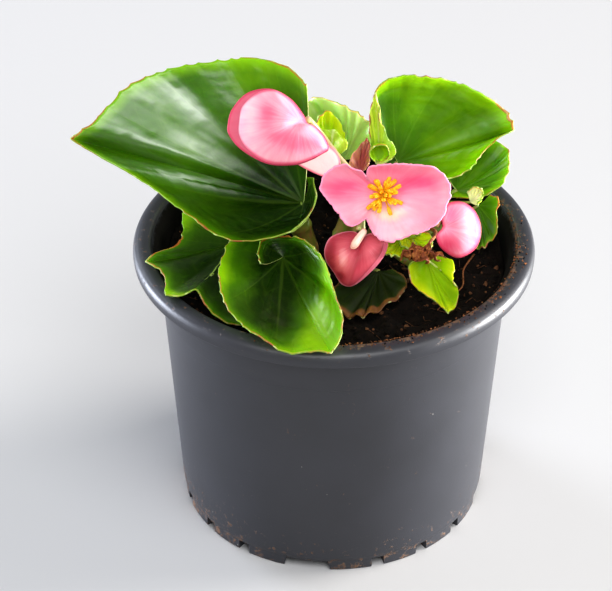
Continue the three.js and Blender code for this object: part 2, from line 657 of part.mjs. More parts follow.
addPiece('pot', potSolid(), materials.potPlastic);
addPiece('soil', soilSolid(), materials.soil);
Object.entries(stems).forEach(([name, stem]) => addPiece(name, stemSolid(stem), materials.stem));
Object.entries(leaves).forEach(([name, leaf]) => addPiece(name, leafSolid(leaf), leafMaterial(name)));
addPiece('leaf_shoot', shootSolid(), materials.youngLeaf);
addPiece('flower_petals', petalsSolid(), materials.petal, flower);
addPiece('flower_stamens', stamensSolid(), materials.stamen, flower);
addPiece('flower_stalks', stalksSolid(), materials.stem);
Object.entries(buds).forEach(([name, bud]) => addPiece(name, budSolid(bud), materials.bud, bud));
addPiece('withered_flower', witheredSolid(), materials.withered);

export default begonia;
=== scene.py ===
# Potted begonia, dressed for the camera
# Sizes are in millimetres from the pot's axis and base; finishPiece sets each piece in its real place.

import math
import random
from functools import partial

import bmesh
import bpy
from mathutils import Matrix, Vector, noise


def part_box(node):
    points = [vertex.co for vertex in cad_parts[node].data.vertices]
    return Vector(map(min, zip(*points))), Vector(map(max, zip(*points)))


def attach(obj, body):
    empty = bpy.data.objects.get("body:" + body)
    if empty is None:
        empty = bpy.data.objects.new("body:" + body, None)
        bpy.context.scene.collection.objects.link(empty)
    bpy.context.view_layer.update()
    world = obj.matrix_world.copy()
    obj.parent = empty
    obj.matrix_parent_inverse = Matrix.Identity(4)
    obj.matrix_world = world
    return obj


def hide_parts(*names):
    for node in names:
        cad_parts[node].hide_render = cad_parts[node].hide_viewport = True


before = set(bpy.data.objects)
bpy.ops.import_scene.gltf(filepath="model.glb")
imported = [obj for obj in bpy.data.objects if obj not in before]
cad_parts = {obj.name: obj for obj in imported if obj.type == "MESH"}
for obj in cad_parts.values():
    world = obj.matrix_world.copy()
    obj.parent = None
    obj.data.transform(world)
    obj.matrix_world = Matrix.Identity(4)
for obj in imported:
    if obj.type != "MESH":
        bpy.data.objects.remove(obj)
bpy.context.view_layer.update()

mm = 0.001
potLow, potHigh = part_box("pot")
potAxis = Vector(((potLow.x + potHigh.x) / 2, (potLow.y + potHigh.y) / 2, 0))
toPlace = Matrix.Translation(potAxis) @ Matrix.Scale(mm, 4)
draw = random.Random(7)
scene = bpy.context.scene
print("frame loaded, pot axis at", [round(value, 4) for value in potAxis])


# Helpers for materials

def hexColor(code):
    channels = [int(code[at:at + 2], 16) / 255 for at in (1, 3, 5)]
    return [c / 12.92 if c <= 0.04045 else ((c + 0.055) / 1.055) ** 2.4 for c in channels] + [1]


# Sets a socket to a number or colour, or links it to a socket or to a node's first output
def feed(socket, value):
    if isinstance(value, bpy.types.Node):
        value = next(output for output in value.outputs if output.enabled)
    if isinstance(value, bpy.types.NodeSocket):
        socket.id_data.links.new(value, socket)
    else:
        socket.default_value = hexColor(value) if isinstance(value, str) else value


# Adds one node: inputs in their order or by name, settings by name, and the stops of a ramp
def addNode(tree, kind, *inputs, stops=(), **named):
    node = tree.nodes.new("ShaderNode" + kind)
    for name, value in named.items():
        if hasattr(node, name):
            setattr(node, name, value)
        else:
            feed(node.inputs[name], value)
    for socket, value in zip([socket for socket in node.inputs if socket.enabled], inputs):
        feed(socket, value)
    for index, (place, value) in enumerate(stops):
        elements = node.color_ramp.elements
        stop = elements[index] if index < 2 else elements.new(place)
        stop.position = place
        stop.color = hexColor(value) if isinstance(value, str) else [value] * 3 + [1]
    return node


def newMaterial(name):
    material = bpy.data.materials.new(name)
    material.use_nodes = True
    return material, partial(addNode, material.node_tree)


def dress(material, inputs):
    for name, value in inputs.items():
        feed(material.node_tree.nodes["Principled BSDF"].inputs[name], value)
    return material


# Light that seeps through: its share, how far each colour goes, and the reach in metres
def flesh(weight, radius, scale):
    return {"Subsurface Weight": weight, "Subsurface Radius": radius, "Subsurface Scale": scale}


# A material whose one noise gives its colours as well as its relief
def makeGrained(name, grain, stops, relief, shader, stretch=(1, 1, 1)):
    material, node = newMaterial(name)
    place = node("Mapping", node("TexCoord").outputs["Object"], Scale=stretch)
    lumps = node("TexNoise", place, Scale=grain[0], Detail=grain[1], Roughness=grain[2])
    bump = node("Bump", Height=lumps, Strength=relief[0], Distance=relief[1])
    return dress(material, {"Base Color": node("ValToRGB", lumps, stops=stops), "Normal": bump, **shader})


# Helpers for shapes

def camel(node):
    first, *rest = node.split("_")
    return first + "".join(word.capitalize() for word in rest)


def ease(share):
    return share * share * (3 - 2 * share)


# A point of a smooth line through a few points, at a share of the way
def curvePoint(points, share, closed=False):
    count = len(points)
    spans = count if closed else count - 1
    place = (share % 1 if closed else min(max(share, 0), 1)) * spans
    first = min(int(place), spans - 1)
    t = place - first
    if closed:
        a, b, c, d = (points[(first + step) % count] for step in (-1, 0, 1, 2))
    else:
        b, c = points[first], points[first + 1]
        a = points[first - 1] if first > 0 else b * 2 - c
        d = points[first + 2] if first + 2 < count else c * 2 - b
    return b + ((c - a) * t + (a * 2 - b * 5 + c * 4 - d) * t ** 2 + (b * 3 - a - c * 3 + d) * t ** 3) / 2


def curveDirection(points, share):
    step = 0.0001
    return (curvePoint(points, min(share + step, 1)) - curvePoint(points, max(share - step, 0))).normalized()


def fractal(point, size, octaves=3):
    return noise.fractal(Vector(point) / size, 0.6, 2.1, octaves)


# Adds up soft spots, each a middle, a reach and a change
def spotted(base, point, spots):
    return base + sum(change * math.exp(-((point - Vector(middle)).length / reach) ** 2)
                      for middle, reach, change in spots)


def newSheetShape(*attributes):
    bm = bmesh.new()
    for name in attributes:
        bm.verts.layers.float.new(name)
    return bm


# A grid whose vertices are set by place(across, along), both from 0 to 1. place also gives the values
# of vertex attributes. Rows whose vertices meet in a point close there.
def addSheet(bm, columns, rows, place, material=0, outward=True):
    made = bmesh.ops.create_grid(bm, x_segments=columns, y_segments=rows, size=1, calc_uvs=True)["verts"]
    faces = list({face for vert in made for face in vert.link_faces})
    for vert in made:
        point, values = place((vert.co.x + 1) / 2, (vert.co.y + 1) / 2)
        vert.co = point
        for name, value in values.items():
            vert[bm.verts.layers.float[name]] = value
    for face in faces:
        face.material_index = material
        face.smooth = True
    if not outward:
        bmesh.ops.reverse_faces(bm, faces=faces)
    bmesh.ops.remove_doubles(bm, verts=made, dist=1e-4)
    return [face for face in faces if face.is_valid]


def closeRims(bm, faces):
    rims = list({edge for face in faces for edge in face.edges if edge.is_boundary})
    caps = bmesh.ops.holes_fill(bm, edges=rims, sides=0)["faces"]
    for cap in caps:
        cap.material_index = faces[0].material_index
        cap.smooth = True
    return caps


# A round stem along a route, thicker or thinner on its way as radiusAt says
def addTube(bm, route, radiusAt, sides=14, steps=None, material=0):
    points = [Vector(point) for point in route]
    steps = steps or 8 * (len(points) - 1)
    frames = []
    side = None
    for step in range(steps + 1):
        direction = curveDirection(points, step / steps)
        if side is None:
            side = direction.orthogonal().normalized()
        side = (side - direction * side.dot(direction)).normalized()
        frames.append((curvePoint(points, step / steps), side.copy(), direction.cross(side)))

    def place(across, along):
        centre, right, up = frames[round(along * steps)]
        turn = across * 2 * math.pi
        return centre + (right * math.cos(turn) + up * math.sin(turn)) * radiusAt(along), {}

    faces = addSheet(bm, sides, steps, place, material)
    caps = closeRims(bm, faces)
    bmesh.ops.recalc_face_normals(bm, faces=faces + caps)


def asObject(bm, name):
    mesh = bpy.data.meshes.new(name)
    bm.to_mesh(mesh)
    bm.free()
    made = bpy.data.objects.new(name, mesh)
    scene.collection.objects.link(made)
    return made


# The shape that an object's modifiers give. The object and its tools are used up.
def modified(item, *tools):
    shown = item.evaluated_get(bpy.context.evaluated_depsgraph_get())
    shape = bmesh.new()
    shape.from_mesh(shown.to_mesh())
    shown.to_mesh_clear()
    for used in (item, *tools):
        mesh = used.data
        bpy.data.objects.remove(used)
        bpy.data.meshes.remove(mesh)
    return shape


# Gives a thin sheet its thickness: upper side, underside and margin take three materials in a row
def thicken(bm, thickness):
    sheet = asObject(bm, "sheet")
    for _ in range(3):
        sheet.data.materials.append(None)
    solidify = sheet.modifiers.new("Thickness", "SOLIDIFY")
    solidify.thickness = thickness
    solidify.offset = 0
    solidify.material_offset = 1
    solidify.material_offset_rim = 2
    return modified(sheet)


def join(bm, part):
    mesh = bpy.data.meshes.new("part")
    part.to_mesh(mesh)
    part.free()
    bm.from_mesh(mesh)
    bpy.data.meshes.remove(mesh)


def finishPiece(bm, name, materials, nodes=(), turn=Matrix.Identity(4), sharpAngle=None):
    bm.transform(toPlace @ turn)
    piece = asObject(bm, name)
    for material in materials:
        piece.data.materials.append(material)
    if sharpAngle:
        piece.data.set_sharp_from_angle(angle=math.radians(sharpAngle))
    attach(piece, "root")
    if nodes:
        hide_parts(*nodes)


# Camera: the photograph looks down on the pot from in front
camera = {"target": (-8.32, 0, 69.36), "distance": 803.5, "elevation": 35.05, "lens": 155.9, "nearest": 50}
tilt = math.radians(camera["elevation"])
backward = Vector((0, -math.cos(tilt), math.sin(tilt)))
cameraData = bpy.data.cameras.new("camera")
cameraData.lens = camera["lens"]
cameraData.clip_start = camera["nearest"] * mm
cameraObject = bpy.data.objects.new("camera", cameraData)
cameraObject.location = potAxis + (Vector(camera["target"]) + backward * camera["distance"]) * mm
cameraObject.rotation_euler = backward.to_track_quat("Z", "Y").to_euler()
scene.collection.objects.link(cameraObject)
scene.camera = cameraObject
print("camera placed")


# Light: a large window high on the right, a smaller one behind on the left, a soft light above the
# front, a softbox whose sheen lies on the largest leaf, and two low panels that show in the pot's wall
studio = {
    "wallColor": "#ebecee", "wallStrength": 0.35, "floorColor": "#e4e4e5", "floorSize": 8000, "aimHeight": 80,
    # place, size, watts and colour of each
    "lights": {
        "windowRight": ((1610, 360, 1440), (1030, 1030), 22.5, "#fffaf4"),
        "panelRight": ((540, 30, 62), (280, 120), 10, "#ffffff"),
        "panelLeft": ((-520, 130, 62), (260, 120), 4.8, "#e6ecfb"),
        "windowLeft": ((-900, 800, 740), (560, 560), 5.5, "#eaf1ff"),
        "skylight": ((200, -620, 900), (800, 800), 5.3, "#ffffff"),
        "softboxFront": ((-165, -809, 684), (728, 650), 6.8, "#ffffff"),
    },
    "offTheFloor": ("panelRight", "panelLeft", "softboxFront"),
}
scene.view_settings.view_transform = "Standard"
scene.view_settings.look = "Medium High Contrast"
scene.world = bpy.data.worlds.new("paleWalls")
scene.world.use_nodes = True
background = scene.world.node_tree.nodes["Background"].inputs
feed(background["Color"], studio["wallColor"])
feed(background["Strength"], studio["wallStrength"])

floorPaint, _ = newMaterial("paintedFloor")
floorShape = bmesh.new()
bmesh.ops.create_grid(floorShape, x_segments=1, y_segments=1, size=studio["floorSize"] * mm / 2)
floor = asObject(floorShape, "floor")
floor.data.materials.append(dress(floorPaint, {"Base Color": studio["floorColor"], "Roughness": 0.9}))
pieceLight = bpy.data.collections.new("pieceLight")
pieceLight.objects.link(floor)
pieceLight.collection_objects[0].light_linking.link_state = "EXCLUDE"

for name, (at, size, watts, tint) in studio["lights"].items():
    lamp = bpy.data.lights.new(name, "AREA")
    lamp.shape = "ELLIPSE"
    lamp.size, lamp.size_y = (side * mm for side in size)
    lamp.energy = watts
    lamp.color = hexColor(tint)[:3]
    lampObject = bpy.data.objects.new(name, lamp)
    lampObject.location = potAxis + Vector(at) * mm
    lampObject.visible_camera = False
    aim = Vector(at) - Vector((0, 0, studio["aimHeight"]))
    lampObject.rotation_euler = aim.to_track_quat("Z", "Y").to_euler()
    scene.collection.objects.link(lampObject)
    if name in studio["offTheFloor"]:
        lampObject.light_linking.receiver_collection = pieceLight
print("studio lit")


# Injection-moulded polypropylene: dark grey, a soft satin gloss, faint moulding streaks and soil dust
def makePotPlastic(name, peatAndShadeInside=False):
    material, node = newMaterial(name)
    place = node("TexCoord").outputs["Object"]
    offAxis = node("VectorMath", place, potAxis, operation="SUBTRACT")
    sizes = node("VectorMath", offAxis, 1 / mm, operation="SCALE")
    height = node("SeparateXYZ", sizes).outputs["Z"]
    flat = node("VectorMath", sizes, (1, 1, 0), operation="MULTIPLY")
    radius = node("VectorMath", flat, operation="LENGTH")
    toRight = node("VectorMath", flat, (0.8, -0.6, 0), operation="DOT_PRODUCT")
    toLeft = node("VectorMath", flat, (-0.95, -0.3, 0), operation="DOT_PRODUCT")
    cloudy = node("TexNoise", place, Scale=38, Detail=5, Roughness=0.6)
    tint = node("ValToRGB", cloudy, stops=[(0.3, "#25262b"), (0.7, "#2b2c32")])
    # dust lies thickest round the foot, where soil was smeared on the left
    nearFoot = node("MapRange", height, 20, 2, 0, 0.11)
    smeared = node("MapRange", toLeft, 36, 46, 1, 1.75)
    footDust = node("Math", nearFoot, smeared, operation="MULTIPLY")
    # and on the lip, most of all on its inner slope at the right, where soil was spilled
    nearLip = node("MapRange", height, 85.5, 91, 0, 0.07)
    inward = node("MapRange", radius, 57.2, 54.5, 0, 0.2)
    spilled = node("MapRange", toRight, 15, 50, 0, 1)
    stained = node("Math", inward, spilled, operation="MULTIPLY")
    onTop = node("Math", nearLip, stained, operation="MULTIPLY")
    lipDust = node("Math", onTop, 14, nearLip, operation="MULTIPLY_ADD")
    most = node("Math", footDust, lipDust, operation="ADD")
    specks = node("TexNoise", place, Scale=420, Detail=6, Roughness=0.75)
    dustAndShade = node("ValToRGB", node("Math", specks, most, operation="ADD"), stops=[(0.66, 0), (0.73, 1)])
    shade = node("Mix", dustAndShade, tint, "#5f4634", data_type="RGBA")
    # pale flecks of lint here and there
    lint = node("TexVoronoi", place, Scale=260)
    rare = node("SeparateColor", lint.outputs["Color"]).outputs["Red"]
    shown = node("Math", rare, 0.86, operation="GREATER_THAN")
    flecks = node("Math", node("MapRange", lint, 0.05, 0.03, 0, 1), shown, operation="MULTIPLY")
    skin = node("Mix", flecks, shade, "#a09c94", data_type="RGBA")
    if peatAndShadeInside:
        # moist peat on the inner wall, painted near-black as the shade of the hollow under the lip, up to a
        # ragged line
        below = node("MapRange", height, 90.5, 86.5, -0.2, 0.9)
        dustAndShade = node("ValToRGB", node("Math", below, specks, operation="ADD"), stops=[(0.5, 0), (0.72, 1)])
        skin = node("Mix", dustAndShade, skin, "#090604", data_type="RGBA")
    gloss = node("MapRange", cloudy, 0, 1, 0.4, 0.52)
    grain = node("TexNoise", place, Scale=2600, Detail=2)
    relief = node("Bump", Height=grain, Strength=0.25, Distance=0.08 * mm)
    return dress(material, {
        "Base Color": skin, "Roughness": node("Mix", dustAndShade, gloss, 0.85, data_type="FLOAT"),
        "Normal": node("Bump", Height=dustAndShade, Normal=relief, Strength=0.5, Distance=0.2 * mm),
        "IOR": 1.56, "Specular IOR Level": 0.15 if peatAndShadeInside else 0.5,
    })


# Pot: a thin turned wall with a rolled lip, a step line and a foot ring cut by notches
pot = {
    "rimRadius": 60, "height": 91, "baseRadius": 47, "wallTopRadius": 52.8, "wall": 1.2, "lipHeight": 5,
    "rimInnerRadius": 54.5, "stepHeight": 72, "footHeight": 3.5, "footWidth": 3.5, "floorHeight": 3.6,
    "floorThickness": 1.6, "drainRadius": 4.5, "drainCircle": 28, "drainCount": 6, "quadrants": 4,
    "firstWideNotch": -10, "wideNotch": 19, "narrowNotch": 5.5, "narrowNotchesAt": (27, 45.5, 64),
    "notchSlant": 0.82, "edgeRound": 1.4, "rimRound": 0.6, "stepDepth": 0.35, "turnSteps": 288,
    "peatAndShadeBelow": 1.4,
}


def wallRadius(height):
    footTop = pot["footHeight"] + pot["edgeRound"]
    share = (height - footTop) / (pot["height"] - pot["lipHeight"] - footTop)
    return pot["baseRadius"] + share * (pot["wallTopRadius"] - pot["baseRadius"])


def around(radius, degreesFromFront):
    turn = math.radians(degreesFromFront)
    return Vector((radius * math.sin(turn), -radius * math.cos(turn), 0))


# Rounds the corners of a profile, each x, z and radius, with a few points
def roundedProfile(corners, steps=4):
    profile = []
    for index, (x, z, radius) in enumerate(corners):
        corner = Vector((x, z))
        if radius == 0:
            profile.append(corner)
            continue
        before = Vector(corners[index - 1][:2]) - corner
        after = Vector(corners[index + 1][:2]) - corner
        reach = min(radius, before.length * 0.49, after.length * 0.49)
        start = corner + before.normalized() * reach
        end = corner + after.normalized() * reach
        for step in range(steps + 1):
            t = step / steps
            profile.append(start * (1 - t) ** 2 + corner * 2 * t * (1 - t) + end * t ** 2)
    return profile


def makePot():
    base, floorLow, top, rim = pot["baseRadius"], pot["floorHeight"], pot["height"], pot["rimRadius"]
    lipLow = top - pot["lipHeight"]
    floorTop = floorLow + pot["floorThickness"]
    inner = base - pot["footWidth"]
    step, depth, slope = pot["stepHeight"], pot["stepDepth"], pot["rimInnerRadius"]
    corners = [
        (0, floorLow, 0), (inner, floorLow, 0.5), (inner, 0, 0.5), (base - pot["rimRound"], 0, 0.6),
        (base - pot["rimRound"], pot["footHeight"], 0.3), (base, pot["footHeight"] + pot["edgeRound"], 0.5),
        (wallRadius(step) - depth / 2, step - depth / 3, 0.12),
        (wallRadius(step) + depth / 2, step + depth / 3, 0.12),
        (pot["wallTopRadius"] + 0.1, lipLow + 0.2, 1.0), (rim - 0.2, lipLow, 0.5), (rim, lipLow + 1.2, 1),
        (rim, top - 2.4, 1.6), (rim - 0.7, top - 0.7, 1.6), (rim - 2.6, top, 1.6), (slope + 0.4, top, 0.7),
        (slope - 0.4, top - 1.6, 0.6), (wallRadius(lipLow) - pot["wall"] + 0.2, lipLow + 1, 1.5),
        (wallRadius(floorTop + 2) - pot["wall"], floorTop + 2, 2),
        (wallRadius(floorTop) - pot["wall"] - 2, floorTop, 1),
        (0, floorTop, 0),
    ]
    bm = bmesh.new()
    verts = [bm.verts.new((point.x, 0, point.y)) for point in roundedProfile(corners)]
    edges = [bm.edges.new(pair) for pair in zip(verts, verts[1:])]
    bmesh.ops.spin(bm, geom=verts + edges, cent=(0, 0, 0), axis=(0, 0, 1), angle=2 * math.pi,
                   steps=pot["turnSteps"], use_merge=True)
    bmesh.ops.remove_doubles(bm, verts=bm.verts, dist=1e-4)
    bmesh.ops.recalc_face_normals(bm, faces=bm.faces)
    # notches of the foot, cut by slanted blocks, and the round drain holes
    cutter = bmesh.new()
    for quadrant in range(pot["quadrants"]):
        start = pot["firstWideNotch"] + quadrant * 360 / pot["quadrants"]
        narrow = [(start + angle, pot["narrowNotch"]) for angle in pot["narrowNotchesAt"]]
        for angle, width in [(start, pot["wideNotch"])] + narrow:
            size = Vector((math.radians(width) * base, pot["footWidth"] * 4, pot["footHeight"] * 2))
            block = bmesh.ops.create_cube(cutter, size=1)["verts"]
            for vert in block:
                vert.co = vert.co * size
                vert.co.x *= pot["notchSlant"] if vert.co.z > 0 else 1
            middle = Matrix.Translation(around(base - pot["footWidth"] / 2, angle))
            turn = Matrix.Rotation(math.radians(angle), 4, "Z")
            bmesh.ops.transform(cutter, verts=block, matrix=middle @ turn)
    for drain in range(pot["drainCount"]):
        middle = around(pot["drainCircle"], drain * 360 / pot["drainCount"]) + Vector((0, 0, floorLow))
        bmesh.ops.create_cone(cutter, cap_ends=True, segments=32, radius1=pot["drainRadius"],
                              radius2=pot["drainRadius"], depth=floorLow * 4,
                              matrix=Matrix.Translation(middle))
    body, tool = asObject(bm, "body"), asObject(cutter, "cutter")
    boolean = body.modifiers.new("Cut", "BOOLEAN")
    boolean.operation = "DIFFERENCE"
    boolean.solver = "EXACT"
    boolean.object = tool
    result = modified(body, tool)
    # inner faces between the floor and the lip take the second plastic, which carries the painted shade of the
    # hollow
    for face in result.faces:
        face.smooth = True
        middle = face.calc_center_median()
        inward = face.normal.x * middle.x + face.normal.y * middle.y < 0
        face.material_index = int(inward and top - pot["peatAndShadeBelow"] > middle.z > floorLow + 1)
    return result


# the second plastic is painted near-black inside the pot, as peat and as the shade of the hollow
potSkins = [makePotPlastic("mouldedPolypropylene"), makePotPlastic("polypropylenePeatAndShadeInside", peatAndShadeInside=True)]
finishPiece(makePot(), "nurseryPot", potSkins, ["pot"], sharpAngle=38)
print("pot turned")


# Potting compost: near-black moist peat with brown fibres and bark, no gloss
def makeCompost(name, dark, light, scale):
    return makeGrained(name, (scale, 8, 0.75), [(0.35, dark), (0.62, light), (0.8, "#6b4427")],
                       (0.9, 0.6 * mm), {"Roughness": 0.95, "Specular IOR Level": 0.15})


compost = makeCompost("moistPeat", "#040302", "#140c07", 320)
barkChip = makeCompost("barkAndFibre", "#1d120b", "#664630", 700)
dryCrumb = makeCompost("dryCoirCrumb", "#4e3020", "#8a5c3c", 900)

# Soil: the lumpy top that the solid has, with crumbs, and bark chips and fibres strewn over it. A thin
# root lies on it at the right, and crumbs were spilled on the lip, most of them on the right and in front.
soil = {
    "level": 82, "slope": 0.015, "lump": 1.3, "crumbShare": 0.4, "roughness": 1.7, "columns": 220,
    "rings": 64, "edgeGap": 0.3, "chips": 1700, "chipSize": (0.4, 1.8), "fibres": 90, "fibreRadius": 0.14,
    "root": ((42, -1), (38.5, -9), (38, -14), (34, -21), (30, -27.5)), "rootRadius": 0.28,
}
spill = {"count": 420, "from": -20, "to": 125, "size": (0.16, 0.62), "clusters": 16, "clusterWidth": 6}


def soilTop(x, y):
    lumps = math.sin(x * 0.19 + 1) * math.cos(y * 0.16) + soil["crumbShare"] * math.sin(x * 0.47 + y * 0.39)
    crumbly = fractal((x, y, 0), 4.2, 4) * soil["roughness"] + fractal((x, y, 9), 1.3, 2) * 0.5
    return soil["level"] + soil["slope"] * (x - y) + soil["lump"] * lumps + crumbly


def makeSoil():
    reach = wallRadius(soil["level"]) - pot["wall"] - soil["edgeGap"]
    bottom = pot["floorHeight"] + pot["floorThickness"] + soil["edgeGap"]
    bm = bmesh.new()

    def place(across, along):
        middle = around(reach * along, across * 360)
        return Vector((middle.x, middle.y, soilTop(middle.x, middle.y))), {}

    top = addSheet(bm, soil["columns"], soil["rings"], place)
    rim = [edge for edge in bm.edges if edge.is_boundary]
    skirt = bmesh.ops.extrude_edge_only(bm, edges=rim)["geom"]
    narrow = (wallRadius(bottom) - pot["wall"] - soil["edgeGap"] * 2) / reach
    for vert in (item for item in skirt if isinstance(item, bmesh.types.BMVert)):
        vert.co = Vector((vert.co.x * narrow, vert.co.y * narrow, bottom))
    closeRims(bm, [face for face in bm.faces if face not in top])
    bmesh.ops.recalc_face_normals(bm, faces=bm.faces)
    return bm


def addCrumb(bm, at, size, material):
    made = bmesh.ops.create_icosphere(bm, subdivisions=1, radius=1)["verts"]
    squash = Matrix.Diagonal((draw.uniform(0.5, 1), draw.uniform(0.4, 0.9), draw.uniform(0.3, 0.6), 1))
    turn = Matrix.Rotation(draw.uniform(0, 6.28), 4, Vector((draw.uniform(-1, 1), draw.uniform(-1, 1), 2)))
    for vert in made:
        vert.co *= size * draw.uniform(0.8, 1.15)
    bmesh.ops.transform(bm, verts=made, matrix=Matrix.Translation(at) @ turn @ squash)
    for face in {face for vert in made for face in vert.link_faces}:
        face.material_index = material


def makeChips():
    bm = bmesh.new()
    reach = wallRadius(soil["level"]) - pot["wall"] - 1.5
    for _ in range(soil["chips"]):
        at = around(reach * math.sqrt(draw.random()), draw.uniform(0, 360))
        size = draw.uniform(*soil["chipSize"]) * draw.uniform(0.5, 1)
        at.z = soilTop(at.x, at.y) + size * 0.15
        addCrumb(bm, at, size, draw.choice((0, 0, 0, 1)))
    for _ in range(soil["fibres"]):
        at = around(reach * math.sqrt(draw.random()) * 0.92, draw.uniform(0, 360))
        heading = draw.uniform(0, 360)
        route = []
        for _ in range(4):
            at = at + around(draw.uniform(1, 2.4), heading)
            heading += draw.uniform(-40, 40)
            route.append(Vector((at.x, at.y, soilTop(at.x, at.y) + draw.uniform(0.1, 0.5))))
        addTube(bm, route, lambda along: soil["fibreRadius"] * (1.1 - along), sides=4, steps=6, material=1)
    return bm


def makeRoot():
    bm = bmesh.new()
    route = [(x, y, soilTop(x, y) + 1 + 0.5 * (index % 2)) for index, (x, y) in enumerate(soil["root"])]
    addTube(bm, route, lambda along: soil["rootRadius"] * (1.15 - 0.6 * along), sides=8, steps=32)
    return bm


def makeSpill():
    bm = bmesh.new()
    clusters = [draw.uniform(spill["from"], spill["to"]) for _ in range(spill["clusters"])]
    for _ in range(spill["count"]):
        angle = draw.gauss(draw.choice(clusters), spill["clusterWidth"])
        inside = draw.random() ** 3
        radius = pot["rimInnerRadius"] - 0.2 + inside * (pot["rimRadius"] - pot["rimInnerRadius"] - 1.6)
        size = draw.uniform(*spill["size"]) * draw.uniform(0.6, 1)
        at = around(radius, angle)
        at.z = pot["height"] + size * 0.1 - (0.25 if inside < 0.05 else 0)
        addCrumb(bm, at, size, draw.choice((0, 0, 1, 2)))
    return bm


finishPiece(makeSoil(), "compostBed", [compost], ["soil"])
finishPiece(makeChips(), "barkChips", [compost, barkChip])
finishPiece(makeRoot(), "rootFibre", [dryCrumb])
finishPiece(makeSpill(), "spilledCrumbs", [dryCrumb, barkChip, compost])
print("soil laid")


# Begonia leaf: thick, smooth and waxy. Main veins spread from the heart, side veins branch off them,
# the cells between show as a fine net, and the margin is reddish brown. Attributes are in millimetres.
def makeLeafMaterial(name, dark, bright, light, marginTint, veinTint, gloss=0.3, wax=1, marginWidth=0.7):
    material, node = newMaterial(name)
    place = node("TexCoord").outputs["Object"]
    vein, span, rib, edge, tone, bloom = (
        node("Attribute", attribute_name=name).outputs["Fac"]
        for name in ("vein", "span", "rib", "edge", "tone", "bloom"))
    toVein = node("Math", node("Math", vein, 0.5, operation="PINGPONG"), span, operation="MULTIPLY")
    thin = node("Math", edge, 0.004, 0.1, operation="MULTIPLY_ADD")
    thick = node("Math", thin, 2.2, operation="MULTIPLY")
    mainVein = node("MapRange", toVein, thin, thick, 1, 0, interpolation_type="SMOOTHSTEP")
    # side veins leave a main vein at a slant, every 8.5 mm, and meet those of its neighbour
    wobble = node("TexNoise", place, Scale=180, Detail=1)
    wobbly = node("Math", wobble, 4, rib, operation="MULTIPLY_ADD")
    slant = node("Math", toVein, -1.15, wobbly, operation="MULTIPLY_ADD")
    shifted = node("Math", slant, 4.25, operation="ADD")
    toSide = node("Math", shifted, 4.25, operation="PINGPONG")
    sideVein = node("MapRange", toSide, 0.17, 0.6375, 0.5, 0, interpolation_type="SMOOTHSTEP")
    net = node("TexVoronoi", place, Scale=520, feature="DISTANCE_TO_EDGE")
    netVein = node("MapRange", net, 0, 0.09, 0.34, 0)
    veins = node("Math", node("Math", mainVein, sideVein, operation="MAXIMUM"), netVein, operation="MAXIMUM")
    # darker in the middle, brighter towards the margin, mottled; the tone attribute adds painted shade in the
    # heart's funnel and under other leaves, and painted light where a half of a blade faces the light
    mottle = node("TexNoise", place, Scale=75, Detail=4, Roughness=0.6)
    toMargin = node("MapRange", edge, 5, 0.3, 0, 0.4)
    patchy = node("Math", mottle, 0.5, -0.25, operation="MULTIPLY_ADD")
    greenWithPaintedLightAndShade = node("Math", node("Math", toMargin, patchy, operation="ADD"), tone, operation="ADD")
    body = node("ValToRGB", greenWithPaintedLightAndShade, stops=[(0, dark), (0.5, bright), (1, light)])
    veined = node("Mix", node("Math", veins, 0.07, operation="MULTIPLY"), body, veinTint, data_type="RGBA")
    reddish = node("TexNoise", place, Scale=55, Detail=2)
    ragged = node("Math", reddish, -5.8 * marginWidth, 3.2 * marginWidth, operation="MULTIPLY_ADD")
    inRim = node("Math", edge, ragged, operation="ADD")
    rim = node("MapRange", inRim, marginWidth, marginWidth * 0.4, 0, 0.8, interpolation_type="SMOOTHSTEP")
    # the wax lies in bands that spread with the veins, thinner near the heart
    fanX = node("Math", vein, 1.3, operation="MULTIPLY")
    fan = node("CombineXYZ", fanX, node("Math", rib, 0.02, operation="MULTIPLY"))
    waxy = node("TexNoise", fan, Scale=1.6, Detail=2)
    coat = node("MapRange", waxy, 0.4, 0.6, wax, wax * 0.3)
    outer = node("MapRange", rib, 12, 40, 0.04, 1)
    waxed = node("Math", coat, outer, operation="MULTIPLY")
    fine = node("TexNoise", place, Scale=1500, Detail=2)
    sunk = node("Math", veins, 0.06, operation="MULTIPLY")
    lined = node("Math", node("Math", fine, 0.05, operation="MULTIPLY"), sunk, operation="SUBTRACT")
    relief = node("Bump", Height=lined, Strength=0.55, Distance=0.35 * mm)
    return dress(material, {
        "Base Color": node("Mix", rim, veined, marginTint, data_type="RGBA"),
        "Roughness": node("MapRange", waxy, 0.38, 0.62, gloss - 0.05, gloss + 0.13),
        "IOR": 1.45, "Specular IOR Level": 0.15, "Normal": relief,
        "Coat Weight": node("Math", waxed, bloom, operation="MULTIPLY"),
        "Coat Roughness": 0.33, "Coat IOR": 1.9, "Coat Normal": relief,
        **flesh(0.45, (0.6, 1.0, 0.1), 1.4 * mm),
    })


